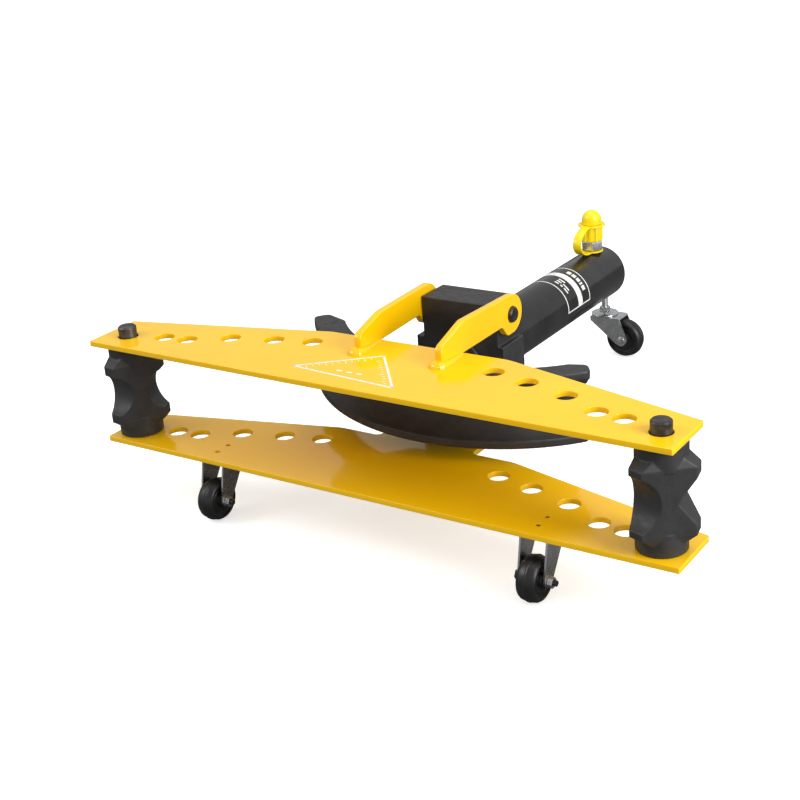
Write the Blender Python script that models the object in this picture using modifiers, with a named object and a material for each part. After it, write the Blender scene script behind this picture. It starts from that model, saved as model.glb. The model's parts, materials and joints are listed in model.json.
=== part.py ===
"""Split hydraulic pipe bender head, standing on its three casters.

Everything is drawn in the head frame: x runs along the wings, y runs back along the
cylinder, z is square to the wings, y = 0 is the line of the roller pins and z = 0 is
the top face of the lower wing.  One empty then stands the head on the floor, where the
tall rear caster tilts it by a few degrees, with its middle over the origin.
"""
import math

import bmesh
import bpy
from mathutils import Vector

MM = 0.001
GAP = 0.3 * MM                       # clearance between neighbouring pieces

# Wings
WING_HALF_LENGTH = 340.7 * MM
WING_END_SHIFT = 3.1 * MM            # the holes are off centre: the lower wing reaches further right
WING_FRONT = -30 * MM
LEFT_END_REAR = 40 * MM
RIGHT_END_REAR = 37 * MM
WING_BEND_X = 108 * MM
WING_REAR = 98 * MM
WING_THICKNESS = 6 * MM
WING_GAP = 106 * MM                  # clear height between the wings
NECK_HALF_WIDTH = 58 * MM
HOLE_RADIUS = 11 * MM
HOLE_PLACES = [(314, 0), (272.8, 13.3), (243.7, 17.3),        # in millimetres
               (201.4, 39.8), (152.9, 53.6), (109.9, 64.3)]
PIN_X = HOLE_PLACES[0][0] * MM
UPPER_TOP = WING_GAP + WING_THICKNESS

# Yoke block, hinge and cylinder
BLOCK_FRONT = 181 * MM
BLOCK_REAR = 225.5 * MM
BLOCK_HALF_WIDTH = 47 * MM
BLOCK_TOP = 132.8 * MM
SHOULDER_HALF_WIDTH = 54.6 * MM
SHOULDER_TOP = 87 * MM
SHOULDER_SHIFT = -1.7 * MM           # the shoulders are cast a little to the left
HINGE_Y = 197 * MM
HINGE_Z = 120.2 * MM
HINGE_PIN_RADIUS = 8.5 * MM
HINGE_PIN_HALF_LENGTH = 60 * MM
ARM_INNER = 48.5 * MM
ARM_THICKNESS = 8 * MM
ARM_BOSS_RADIUS = 21 * MM
LEFT_ARM_SKEW = math.radians(2.9)    # it is welded a little out of square
LEFT_ARM_ELBOW = 21.6 * MM           # the two arms are cut slightly differently
RIGHT_ARM_ELBOW = 24.8 * MM
RAM_Z = 64 * MM
TUBE_RADIUS = 32.5 * MM
TUBE_BORE = 25 * MM
TUBE_FRONT = 190.4 * MM
TUBE_REAR = 524.4 * MM
BLOCK_WALL_REAR = 190 * MM
BASE_FRONT = 505 * MM
BASE_REAR = 540.4 * MM
BASE_BOSS_RADIUS = 20 * MM

# Ram, piston and former
RAM_RADIUS = 19 * MM
RAM_BORE = 12 * MM
RAM_FRONT = 150.8 * MM
RAM_REAR = 490 * MM
PISTON_FRONT = 464 * MM
PISTON_REAR = 486 * MM
FORMER_RADIUS = 216 * MM             # of its outer lips, about the former's own centre
FORMER_CENTRE_Y = 278 * MM
FORMER_HALF_ANGLE = math.radians(52.7)
FORMER_HALF_HEIGHT = 39.2 * MM
FORMER_Z = 59.5 * MM
FORMER_INNER_RADIUS = 186 * MM
FORMER_CORE_SHIFT = 5 * MM           # the hollow behind the crescent is cored off centre
FORMER_REAR = 150 * MM
FORMER_ROLL = math.radians(2.1)      # it hangs a little rolled on the ram nose
PIPE_GROOVE_RADIUS = 32 * MM         # suits a 2 inch pipe, 60.3 mm outside
PIPE_GROOVE_PATH = 226 * MM
SOCKET_RADIUS = 15 * MM
SOCKET_FRONT = 130 * MM

# Rollers
ROLLER_PIN_RADIUS = 10 * MM
ROLLER_COLLAR_RADIUS = 24 * MM
ROLLER_MID = 52.5 * MM
ROLLER_SIDE = 23.4 * MM              # from the pin to each broad plain side
ROLLER_NOSE = 33.4 * MM              # from the pin to each narrow grooved side
ROLLER_RIM_HALF_HEIGHT = 33 * MM
ROLLER_NECK_HALF_HEIGHT = 41.5 * MM
GROOVE_BOTTOM = 18 * MM
LARGE_GROOVE_RADIUS = 30.2 * MM      # 2 inch pipe
SMALL_GROOVE_RADIUS = 24.2 * MM      # 1 1/2 inch pipe
LEFT_ROLLER_TURN = math.radians(54)
RIGHT_ROLLER_TURN = math.radians(41)

# Front casters
CASTER_X = 195.2 * MM
FRONT_WHEEL_Y = -21.4 * MM
FRONT_WHEEL_Z = -51.4 * MM
FRONT_WHEEL_RADIUS = 23.4 * MM
CASTER_SCREW_YS = (7.5 * MM, -10.7 * MM)
BRACKET_OUTER = 15 * MM
BRACKET_INNER = 13 * MM
BRACKET_TOP = -WING_THICKNESS - GAP

# Rear caster
STEM_Y = 529.3 * MM
REAR_TRAIL = 28.3 * MM
REAR_WHEEL_Z = -24.3 * MM
REAR_WHEEL_RADIUS = 24.6 * MM
FORK_TOP = 4.2 * MM
FORK_OUTER = 13.3 * MM
FORK_INNER = 11.4 * MM
STEM_RADIUS = 4 * MM

# Coupler and dust cap
PORT_Y = 497.4 * MM
PORT_RADIUS = 7 * MM
HEX_LOW = 100.6 * MM
HEX_TOP = 111.6 * MM
CAP_LOW = 112 * MM
NECK_LOW = 129.8 * MM
NECK_TOP = 132.4 * MM
CAP_TOP = 149.5 * MM
STRAP_REACH = 40 * MM

# Standing place
PINS_TO_MIDDLE = 249.4 * MM          # level distance from the roller pins to the middle


def parts_collection(name):
    collection = bpy.data.collections.new(name)
    bpy.context.scene.collection.children.link(collection)
    return collection


for old in list(bpy.data.objects):
    bpy.data.objects.remove(old, do_unlink=True)

PARTS = parts_collection("pipe_bender_head")
CUTTERS = parts_collection("cutters")


def finish(name, colour, roughness, metallic):
    material = bpy.data.materials.new(name)
    material.use_nodes = True
    shader = material.node_tree.nodes["Principled BSDF"]
    shader.inputs["Base Color"].default_value = (*colour, 1)
    shader.inputs["Roughness"].default_value = roughness
    shader.inputs["Metallic"].default_value = metallic
    material.diffuse_color = (*colour, 1)
    return material


YELLOW = (0.95, 0.62, 0.01)
BLACK = (0.02, 0.02, 0.022)
CAST = (0.05, 0.05, 0.055)
ZINC = (0.55, 0.57, 0.58)
STEEL = (0.35, 0.35, 0.36)
RUBBER = (0.025, 0.025, 0.025)
CAP_YELLOW = (0.95, 0.75, 0.02)


# --- Empties: the standing frame and the joints -----------------------------------

def standing_tilt():
    """Angle that brings the front wheels and the rear wheel down to one floor."""
    run = STEM_Y - FRONT_WHEEL_Y
    rise = REAR_WHEEL_Z - FRONT_WHEEL_Z
    radius_step = REAR_WHEEL_RADIUS - FRONT_WHEEL_RADIUS
    return math.atan2(rise, run) - math.asin(radius_step / math.hypot(run, rise))


def make_empty(name, location, parent=None):
    """An empty at a place given in the head frame."""
    empty = bpy.data.objects.new(name, None)
    empty.empty_display_size = 20 * MM
    PARTS.objects.link(empty)
    empty["head_place"] = location
    attach(empty, parent, location)
    return empty


def attach(obj, parent, location):
    """Parent obj and put it at a place given in the head frame."""
    if parent is None:
        obj.location = location
        return
    obj.parent = parent
    obj.location = Vector(location) - Vector(parent["head_place"])


HEAD = make_empty("head_frame", (0, 0, 0))
TILT = standing_tilt()
HEAD.rotation_euler.x = -TILT
front_axle_height = FRONT_WHEEL_Z * math.cos(TILT) - FRONT_WHEEL_Y * math.sin(TILT)
HEAD.location.y = -PINS_TO_MIDDLE
HEAD.location.z = FRONT_WHEEL_RADIUS - front_axle_height

HINGE = make_empty("upper_wing_hinge", (0, HINGE_Y, HINGE_Z), HEAD)
RAM = make_empty("ram_slide", (0, RAM_FRONT, RAM_Z), HEAD)
FORMER = make_empty("former_draw_off", (0, FORMER_REAR, RAM_Z), RAM)
FORMER.rotation_euler.y = FORMER_ROLL
LEFT_ROLLER = make_empty("left_roller_spin", (-PIN_X, 0, ROLLER_MID), HEAD)
RIGHT_ROLLER = make_empty("right_roller_spin", (PIN_X, 0, ROLLER_MID), HEAD)
LEFT_PIN = make_empty("left_pin_lift", (-PIN_X, 0, UPPER_TOP), HEAD)
RIGHT_PIN = make_empty("right_pin_lift", (PIN_X, 0, UPPER_TOP), HEAD)
LEFT_WHEEL = make_empty("left_wheel_spin", (-CASTER_X, FRONT_WHEEL_Y, FRONT_WHEEL_Z), HEAD)
RIGHT_WHEEL = make_empty("right_wheel_spin", (CASTER_X, FRONT_WHEEL_Y, FRONT_WHEEL_Z), HEAD)
SWIVEL = make_empty("rear_caster_swivel", (0, STEM_Y, FORK_TOP), HEAD)
REAR_WHEEL = make_empty("rear_wheel_spin", (REAR_TRAIL, STEM_Y, REAR_WHEEL_Z), SWIVEL)
CAP = make_empty("dust_cap_lift", (0, PORT_Y, CAP_LOW), HEAD)

TURN_TO_X = (0, math.pi / 2, 0)              # local z becomes x
TURN_TO_Y = (-math.pi / 2, 0, 0)             # local z becomes y
SIDE_VIEW = (math.pi / 2, 0, math.pi / 2)    # an outline drawn as (y, z), thick along x
FRONT_VIEW = (math.pi / 2, 0, 0)             # an outline drawn as (x, z), thick along y


# --- Modelling helpers ------------------------------------------------------------

def add_part(name, mesh, material, parent, location, rotation=(0, 0, 0)):
    obj = bpy.data.objects.new(name, mesh)
    obj.rotation_euler = rotation
    PARTS.objects.link(obj)
    attach(obj, parent, location)
    if not mesh.materials:
        mesh.materials.append(material)
    return obj


def as_cutter(obj):
    for collection in list(obj.users_collection):
        collection.objects.unlink(obj)
    CUTTERS.objects.link(obj)
    obj.hide_render = True
    obj.display_type = 'WIRE'
    return obj


def combine(target, tool, operation):
    boolean = target.modifiers.new(operation.lower() + "_" + tool.name, 'BOOLEAN')
    boolean.operation = operation
    boolean.solver = 'EXACT'
    boolean.object = as_cutter(tool)


def cut(target, tool):
    combine(target, tool, 'DIFFERENCE')


def join(target, tool):
    combine(target, tool, 'UNION')


def bevel(obj, width, segments=1, angle=40):
    modifier = obj.modifiers.new("edges", 'BEVEL')
    modifier.width = width
    modifier.segments = segments
    modifier.angle_limit = math.radians(angle)


def shade(mesh):
    mesh.shade_smooth()
    mesh.set_sharp_from_angle(angle=math.radians(35))


def box_mesh(name, size):
    bm = bmesh.new()
    bmesh.ops.create_cube(bm, size=1)
    bmesh.ops.scale(bm, vec=Vector(size), verts=bm.verts)
    mesh = bpy.data.meshes.new(name)
    bm.to_mesh(mesh)
    bm.free()
    return mesh


def add_rod(bm, radius, low, high, x=0.0, y=0.0, segments=24):
    """A closed cylinder along z, added to bm."""
    made = bmesh.ops.create_cone(bm, cap_ends=True, segments=segments, radius1=radius,
                                 radius2=radius, depth=high - low)
    bmesh.ops.translate(bm, vec=Vector((x, y, (low + high) / 2)), verts=made["verts"])


def rods_mesh(name, rods, segments=20):
    """Cylinders along z, each given as (radius, low, high, x, y)."""
    bm = bmesh.new()
    for radius, low, high, x, y in rods:
        add_rod(bm, radius, low, high, x, y, segments)
    mesh = bpy.data.meshes.new(name)
    bm.to_mesh(mesh)
    bm.free()
    shade(mesh)
    return mesh


def turned(name, profile, material, parent, location, rotation=(0, 0, 0), bored=False, steps=24):
    """A lathe shape about local z.  The profile is (radius, height) pairs in millimetres,
    running down the outer side; a bored shape then runs back up its bore."""
    mesh = bpy.data.meshes.new(name)
    points = [(radius * MM, 0, height * MM) for radius, height in profile]
    edges = [(i, i + 1) for i in range(len(points) - 1)]
    if bored:
        edges.append((len(points) - 1, 0))
    mesh.from_pydata(points, edges, [])
    obj = add_part(name, mesh, material, parent, location, rotation)
    screw = obj.modifiers.new("turn", 'SCREW')
    screw.axis = 'Z'
    screw.steps = steps
    screw.render_steps = steps
    screw.use_merge_vertices = True
    screw.merge_threshold = 0.00001
    return obj


def rounded(corners, steps=3):
    """Outline points from (x, y, corner radius) in millimetres, each corner an arc."""
    outline = []
    count = len(corners)
    for i, (x, y, radius) in enumerate(corners):
        here = Vector((x, y))
        back = (Vector(corners[i - 1][:2]) - here).normalized()
        ahead = (Vector(corners[(i + 1) % count][:2]) - here).normalized()
        if radius == 0:
            outline.append(here)
            continue
        half = back.angle(ahead) / 2
        centre = here + (back + ahead).normalized() * (radius / math.sin(half))
        start = here + back * (radius / math.tan(half)) - centre
        end = here + ahead * (radius / math.tan(half)) - centre
        sweep = start.angle_signed(end)
        for step in range(steps + 1):
            angle = -sweep * step / steps
            turn = Vector((start.x * math.cos(angle) - start.y * math.sin(angle),
                           start.x * math.sin(angle) + start.y * math.cos(angle)))
            outline.append(centre + turn)
    return outline


def slab(name, outline, thickness, material, parent, location, rotation=(0, 0, 0)):
    """A flat piece from an outline in millimetres, centred on its own mid-plane."""
    curve = bpy.data.curves.new(name + "_outline", 'CURVE')
    curve.dimensions = '2D'
    curve.fill_mode = 'BOTH'
    curve.extrude = thickness / 2
    spline = curve.splines.new('POLY')
    spline.points.add(len(outline) - 1)
    for point, (x, y) in zip(spline.points, outline):
        point.co = (x * MM, y * MM, 0, 1)
    spline.use_cyclic_u = True
    return solid_from_curve(name, curve, material, parent, location, rotation)


def solid_from_curve(name, curve, material, parent, location, rotation=(0, 0, 0)):
    """A closed mesh from a filled or bevelled curve."""
    guide = bpy.data.objects.new(name + "_guide", curve)
    PARTS.objects.link(guide)
    bpy.context.view_layer.update()
    evaluated = guide.evaluated_get(bpy.context.evaluated_depsgraph_get())
    mesh = bpy.data.meshes.new_from_object(evaluated)
    mesh.name = name
    bpy.data.objects.remove(guide, do_unlink=True)
    bm = bmesh.new()
    bm.from_mesh(mesh)
    bmesh.ops.remove_doubles(bm, verts=bm.verts, dist=0.00001)
    bmesh.ops.recalc_face_normals(bm, faces=bm.faces)
    bm.to_mesh(mesh)
    bm.free()
    shade(mesh)
    mesh.materials.clear()
    return add_part(name, mesh, material, parent, location, rotation)


def bent_rod(name, points, radius, material, parent, location, resolution=2):
    """A round rod along points given in metres, with filled ends."""
    curve = bpy.data.curves.new(name + "_path", 'CURVE')
    curve.dimensions = '3D'
    curve.bevel_depth = radius
    curve.bevel_resolution = resolution
    curve.use_fill_caps = True
    spline = curve.splines.new('POLY')
    spline.points.add(len(points) - 1)
    for point, place in zip(spline.points, points):
        point.co = (*place, 1)
    return solid_from_curve(name, curve, material, parent, location)


def arc_points(radius, start, end, count):
    """Points on a circle about z; angles are measured from -y towards +x."""
    angles = [start + (end - start) * i / (count - 1) for i in range(count)]
    return [(radius * math.sin(a), -radius * math.cos(a), 0) for a in angles]


# --- Wings ------------------------------------------------------------------------

def wing_outline(with_neck):
    shift = WING_END_SHIFT if with_neck else -WING_END_SHIFT
    left, right = (shift - WING_HALF_LENGTH) / MM, (shift + WING_HALF_LENGTH) / MM
    front, bend, rear = WING_FRONT / MM, WING_BEND_X / MM, WING_REAR / MM
    corners = [(left, front, 1.5), (right, front, 1.5),
               (right, RIGHT_END_REAR / MM, 2), (bend, rear, 40)]
    if with_neck:
        neck, neck_end = NECK_HALF_WIDTH / MM, BLOCK_REAR / MM
        corners += [(neck, rear, 6), (neck, neck_end, 4), (-neck, neck_end, 4), (-neck, rear, 6)]
    corners += [(-bend, rear, 40), (left, LEFT_END_REAR / MM, 2)]
    return rounded(corners)


def wing_holes():
    low, high = -WING_THICKNESS, WING_THICKNESS
    return [(HOLE_RADIUS, low, high, side * x * MM, y * MM)
            for x, y in HOLE_PLACES for side in (-1, 1)]


def block_bolt_places():
    across, front, rear = 38 * MM, 193 * MM, 213 * MM
    return {"block_bolt_front_left": (-across, front), "block_bolt_front_right": (across, front),
            "block_bolt_rear_left": (-across, rear), "block_bolt_rear_right": (across, rear)}


def make_upper_wing(material):
    middle = UPPER_TOP - WING_THICKNESS / 2
    plate = slab("upper_wing_plate", wing_outline(False), WING_THICKNESS, material,
                 HINGE, (0, 0, middle))
    cut(plate, add_part("upper_wing_holes", rods_mesh("upper_wing_holes", wing_holes(), 18),
                        material, HINGE, (0, 0, middle)))


def make_lower_wing(material):
    middle = -WING_THICKNESS / 2
    plate = slab("lower_wing_plate", wing_outline(True), WING_THICKNESS, material,
                 HEAD, (0, 0, middle))
    low, high = -WING_THICKNESS, WING_THICKNESS
    cut(plate, add_part("lower_wing_holes", rods_mesh("lower_wing_holes", wing_holes(), 18),
                        material, HEAD, (0, 0, middle)))
    bolts = [(2.7 * MM, low, high, side * CASTER_X, y)
             for side in (-1, 1) for y in CASTER_SCREW_YS]
    bolts += [(5.3 * MM, low, high, x, y) for x, y in block_bolt_places().values()]
    cut(plate, add_part("lower_wing_bolt_holes", rods_mesh("lower_wing_bolt_holes", bolts, 10),
                        material, HEAD, (0, 0, middle)))


def make_hinge_arm(name, side, skew, elbow, material):
    """An arm outlined as (y, z) from the hinge axis, turned by skew about the vertical.
    The elbow is the height of its upper bend above the axis."""
    boss = ARM_BOSS_RADIUS / MM
    foot = (UPPER_TOP + GAP - HINGE_Z) / MM
    corners = [(-141, foot, 0), (-99, foot, 0), (-21, foot, 4), (-11, -boss, 5),
               (boss, -boss, boss - 0.1), (boss, boss, boss - 0.1),
               (-96, elbow / MM, 14), (-141, 10.8, 5)]
    place = (side * (ARM_INNER + ARM_THICKNESS / 2), HINGE_Y, HINGE_Z)
    arm = slab(name, rounded(corners, steps=5), ARM_THICKNESS, material, HINGE, place,
               (math.pi / 2, 0, math.pi / 2 + skew))
    reach = 2 * ARM_THICKNESS
    hole = rods_mesh(name + "_hole", [(HINGE_PIN_RADIUS + GAP, -reach, reach, 0, 0)])
    cut(arm, add_part(name + "_hole", hole, material, HINGE, place, TURN_TO_X))


# --- Yoke block and its fasteners -------------------------------------------------

def make_yoke_block(material):
    depth = BLOCK_REAR - BLOCK_FRONT
    middle_y = (BLOCK_REAR + BLOCK_FRONT) / 2
    height = BLOCK_TOP - GAP
    block = add_part("yoke_block", box_mesh("yoke_block", (2 * BLOCK_HALF_WIDTH, depth, height)),
                     material, HEAD, (0, middle_y, GAP + height / 2))
    shoulder_height = SHOULDER_TOP - GAP
    shoulder = box_mesh("yoke_shoulder", (2 * SHOULDER_HALF_WIDTH, depth, shoulder_height))
    join(block, add_part("yoke_shoulder", shoulder, material, HEAD,
                         (SHOULDER_SHIFT, middle_y, GAP + shoulder_height / 2)))
    bevel(block, 1.2 * MM)
    bore = [(TUBE_RADIUS + GAP, BLOCK_WALL_REAR, BLOCK_REAR + 5 * MM, 0, 0)]
    cut(block, add_part("yoke_tube_bore", rods_mesh("yoke_tube_bore", bore, 32),
                        material, HEAD, (0, 0, RAM_Z), TURN_TO_Y))
    wall = [(24.3 * MM, BLOCK_FRONT - 5 * MM, BLOCK_WALL_REAR + 1 * MM, 0, 0)]
    cut(block, add_part("yoke_ram_bore", rods_mesh("yoke_ram_bore", wall, 24),
                        material, HEAD, (0, 0, RAM_Z), TURN_TO_Y))
    across = [(HINGE_PIN_RADIUS + GAP, -60 * MM, 60 * MM, 0, 0)]
    cut(block, add_part("yoke_pin_bore", rods_mesh("yoke_pin_bore", across),
                        material, HEAD, (0, HINGE_Y, HINGE_Z), TURN_TO_X))
    taps = [(5.3 * MM, -5 * MM, 20 * MM, x, y) for x, y in block_bolt_places().values()]
    cut(block, add_part("yoke_tapped_holes", rods_mesh("yoke_tapped_holes", taps, 10),
                        material, HEAD, (0, 0, 0)))


def make_hinge_pin(material):
    half = HINGE_PIN_HALF_LENGTH / MM
    radius = HINGE_PIN_RADIUS / MM
    profile = [(0, half), (radius - 1.5, half), (radius, half - 1.5),
               (radius, 1.5 - half), (radius - 1.5, -half), (0, -half)]
    turned("hinge_pin", profile, material, HEAD, (0, HINGE_Y, HINGE_Z), TURN_TO_X)


def hex_bolt(name, across_flats, head_height, shank_radius, shank_length, material,
             parent, location, rotation=(0, 0, 0)):
    """A bolt whose head sits below its local origin and whose shank runs up local z."""
    bm = bmesh.new()
    corner = across_flats / 2 / math.cos(math.pi / 6)
    made = bmesh.ops.create_cone(bm, cap_ends=True, segments=6, radius1=corner, radius2=corner,
                                 depth=head_height)
    bmesh.ops.translate(bm, vec=Vector((0, 0, -head_height / 2)), verts=made["verts"])
    mesh = bpy.data.meshes.new(name)
    bm.to_mesh(mesh)
    bm.free()
    bolt = add_part(name, mesh, material, parent, location, rotation)
    shank = rods_mesh(name + "_shank", [(shank_radius, -1 * MM, shank_length, 0, 0)], 12)
    join(bolt, add_part(name + "_shank", shank, material, parent, location, rotation))
    return bolt


def hex_nut(name, across_flats, height, bore, material, parent, location, rotation=(0, 0, 0)):
    """A nut that starts at its local origin and runs up local z."""
    bm = bmesh.new()
    corner = across_flats / 2 / math.cos(math.pi / 6)
    made = bmesh.ops.create_cone(bm, cap_ends=True, segments=6, radius1=corner, radius2=corner,
                                 depth=height)
    bmesh.ops.translate(bm, vec=Vector((0, 0, height / 2)), verts=made["verts"])
    mesh = bpy.data.meshes.new(name)
    bm.to_mesh(mesh)
    bm.free()
    nut = add_part(name, mesh, material, parent, location, rotation)
    hole = rods_mesh(name + "_bore", [(bore, -2 * MM, height + 2 * MM, 0, 0)], 16)
    cut(nut, add_part(name + "_bore", hole, material, parent, location, rotation))


def make_block_bolts(material):
    seat = -WING_THICKNESS - GAP
    for name, (x, y) in block_bolt_places().items():
        hex_bolt(name, 16 * MM, 6.4 * MM, 4.9 * MM, 24 * MM, material, HEAD, (x, y, seat))


# --- Cylinder, ram and spring -----------------------------------------------------

def make_cylinder(paint, steel, seal):
    front, rear, base = TUBE_FRONT / MM, TUBE_REAR / MM, BASE_FRONT / MM
    radius, bore = TUBE_RADIUS / MM, TUBE_BORE / MM
    axis = (0, 0, RAM_Z)
    tube = turned("cylinder_tube", [(radius - 2, rear), (radius, rear - 2), (radius, front),
                                    (bore, front), (bore, rear)],
                  paint, HEAD, axis, TURN_TO_Y, bored=True, steps=32)
    port = rods_mesh("cylinder_port", [(PORT_RADIUS, 0, 60 * MM, 0, 0)], 16)
    cut(tube, add_part("cylinder_port", port, paint, HEAD, (0, PORT_Y, RAM_Z)))

    plug, boss, end = bore - 0.3, BASE_BOSS_RADIUS / MM, BASE_REAR / MM
    cap = turned("cylinder_base", [(0, end), (boss - 1.5, end), (boss, end - 1.5), (boss, rear),
                                   (plug, rear), (plug, base), (0, base)],
                 paint, HEAD, axis, TURN_TO_Y)
    socket = rods_mesh("stem_socket", [(STEM_RADIUS + GAP, -35 * MM, -14 * MM, 0, 0)], 16)
    cut(cap, add_part("stem_socket", socket, paint, HEAD, (0, STEM_Y, RAM_Z)))

    ram = RAM_RADIUS / MM
    turned("gland_bush", [(plug, 212), (plug, 190.7), (ram + 0.3, 190.7), (ram + 0.3, 212)],
           steel, HEAD, axis, TURN_TO_Y, bored=True)
    turned("wiper_ring", [(24, 189.7), (24, 181.5), (22.5, 179), (ram + 0.3, 179), (ram + 0.3, 189.7)],
           seal, HEAD, axis, TURN_TO_Y, bored=True)


def make_ram(chrome, steel, seal):
    outer, bore = RAM_RADIUS / MM, RAM_BORE / MM
    front, rear = RAM_FRONT / MM, RAM_REAR / MM
    axis = (0, 0, RAM_Z)
    turned("ram_rod", [(outer, rear), (outer, front + 1), (outer - 1, front), (bore, front), (bore, rear)],
           chrome, RAM, axis, TURN_TO_Y, bored=True)
    spigot, tip = SOCKET_RADIUS / MM - 0.3, SOCKET_FRONT / MM + 0.5
    turned("ram_nose", [(0, 172), (bore - 0.3, 172), (bore - 0.3, front - 0.3), (spigot, front - 0.3),
                        (spigot, tip + 2), (spigot - 2, tip), (0, tip)],
           steel, RAM, axis, TURN_TO_Y)
    head = TUBE_BORE / MM - 0.3
    low, high = PISTON_FRONT / MM, PISTON_REAR / MM
    turned("piston_head", [(head, high), (head, 481), (21.5, 481), (21.5, 474), (head, 474), (head, low),
                           (outer + 0.3, low), (outer + 0.3, high)],
           steel, RAM, axis, TURN_TO_Y, bored=True)
    turned("piston_seal", [(head, 480.7), (head, 474.3), (21.8, 474.3), (21.8, 480.7)],
           seal, RAM, axis, TURN_TO_Y, bored=True)
    turned("piston_circlip", [(outer + 2.5, 488.1), (outer + 2.5, 486.3), (outer + 0.3, 486.3),
                              (outer + 0.3, 488.1)],
           steel, RAM, axis, TURN_TO_Y, bored=True)


def make_return_spring(material):
    start, end = 176 * MM, 502 * MM
    turns, per_turn, coil = 14, 8, 8.6 * MM
    points = []
    for i in range(turns * per_turn + 1):
        angle = 2 * math.pi * i / per_turn
        along = start + (end - start) * i / (turns * per_turn)
        points.append((coil * math.cos(angle), along, coil * math.sin(angle)))
    bent_rod("return_spring", points, 1.4 * MM, material, HEAD, (0, 0, RAM_Z), resolution=1)


# --- Former -----------------------------------------------------------------------

def former_outline():
    """Crescent between the outer lips and the back, in millimetres."""
    centre, end = FORMER_CENTRE_Y / MM, FORMER_HALF_ANGLE
    lips = arc_points(FORMER_RADIUS, -end, end, 25)
    tip = arc_points(199 * MM, end + math.radians(1.5), -end, 2)[:1]
    near_end, near_hub = math.radians(48), math.radians(19)
    right_back = arc_points(FORMER_INNER_RADIUS, near_end, near_hub, 7)
    left_back = arc_points(FORMER_INNER_RADIUS, -near_hub, -near_end, 7)
    left_tip = [(-x, y, z) for x, y, z in tip]
    hub = [(30, 126), (-30, 126)]
    shift = FORMER_CORE_SHIFT
    right_back = [(x + shift, y, z) for x, y, z in right_back]
    left_back = [(x + shift, y, z) for x, y, z in left_back]
    outline = [(x / MM, centre + y / MM) for x, y, _ in lips + tip + right_back]
    return outline + hub + [(x / MM, centre + y / MM) for x, y, _ in left_back + left_tip]


def make_former(material):
    former = slab("bending_former", former_outline(), 2 * FORMER_HALF_HEIGHT, material,
                  FORMER, (0, 0, FORMER_Z))
    rib = rounded([(-88, 116, 0), (88, 116, 0), (30, 149, 8), (-30, 149, 8)])
    join(former, slab("former_rib", rib, 16 * MM, material, FORMER, (0, 0, RAM_Z)))
    boss = rods_mesh("former_boss", [(26 * MM, 112 * MM, FORMER_REAR, 0, 0)], 24)
    join(former, add_part("former_boss", boss, material, FORMER, (0, 0, RAM_Z), TURN_TO_Y))
    sweep = FORMER_HALF_ANGLE + math.radians(3)
    path = arc_points(PIPE_GROOVE_PATH, -sweep, sweep, 25)
    cut(former, bent_rod("pipe_groove", path, PIPE_GROOVE_RADIUS, material, FORMER,
                         (0, FORMER_CENTRE_Y, FORMER_Z), resolution=5))
    socket = rods_mesh("former_socket", [(SOCKET_RADIUS, SOCKET_FRONT, FORMER_REAR + 5 * MM, 0, 0)])
    cut(former, add_part("former_socket", socket, material, FORMER, (0, 0, RAM_Z), TURN_TO_Y))


# --- Rollers ----------------------------------------------------------------------

def three_sided_ring(side, nose, height):
    """Corners of a triangle with cut-off noses; one broad side faces -y."""
    corners = []
    for turn in (0, 120, 240):
        for along in (-(nose - side / 2), nose - side / 2):
            x, y = along / math.sin(math.radians(60)), -side
            angle = math.radians(turn)
            corners.append((x * math.cos(angle) - y * math.sin(angle),
                            x * math.sin(angle) + y * math.cos(angle), height))
    return corners


def roller_blank(name):
    """The ungrooved body: an upright rim with a sloping shoulder above and below."""
    neck = ROLLER_COLLAR_RADIUS - 4 * MM
    levels = [(neck, neck + 2 * MM, -ROLLER_NECK_HALF_HEIGHT),
              (ROLLER_SIDE, ROLLER_NOSE, -ROLLER_RIM_HALF_HEIGHT),
              (ROLLER_SIDE, ROLLER_NOSE, ROLLER_RIM_HALF_HEIGHT),
              (neck, neck + 2 * MM, ROLLER_NECK_HALF_HEIGHT)]
    points = []
    for side, nose, height in levels:
        points += three_sided_ring(side, nose, height)
    faces = [tuple(range(5, -1, -1)), tuple(range(18, 24))]
    for level in range(3):
        for i in range(6):
            low, step = 6 * level, (i + 1) % 6
            faces.append((low + i, low + step, low + 6 + step, low + 6 + i))
    mesh = bpy.data.meshes.new(name)
    mesh.from_pydata(points, [], faces)
    return mesh


def roller_body(name, material, parent, place, turn):
    """The body between two round collars, bored for its pin."""
    body = add_part(name, roller_blank(name), material, parent, place, (0, 0, turn))
    low, high = GAP - ROLLER_MID, WING_GAP - GAP - ROLLER_MID
    inside = ROLLER_RIM_HALF_HEIGHT + 1 * MM
    for end, start, stop in (("lower", low, -inside), ("upper", inside, high)):
        collar = rods_mesh(name + "_collar_" + end, [(ROLLER_COLLAR_RADIUS, start, stop, 0, 0)], 28)
        join(body, add_part(name + "_collar_" + end, collar, material, parent, place))
    bore = rods_mesh(name + "_bore", [(ROLLER_PIN_RADIUS + GAP, low - 5 * MM, high + 5 * MM, 0, 0)], 24)
    cut(body, add_part(name + "_bore", bore, material, parent, place))
    return body


def cut_round_groove(body, material, parent, place, facing, radius):
    """A straight round pipe groove across the nose at the angle facing, from -y."""
    bar = rods_mesh(body.name + "_groove", [(radius, -60 * MM, 60 * MM, 0, 0)], 36)
    across = GROOVE_BOTTOM + radius
    centre = (place[0] + across * math.sin(facing), place[1] - across * math.cos(facing), place[2])
    cut(body, add_part(body.name + "_groove", bar, material, parent, centre, (0, math.pi / 2, facing)))


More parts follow.
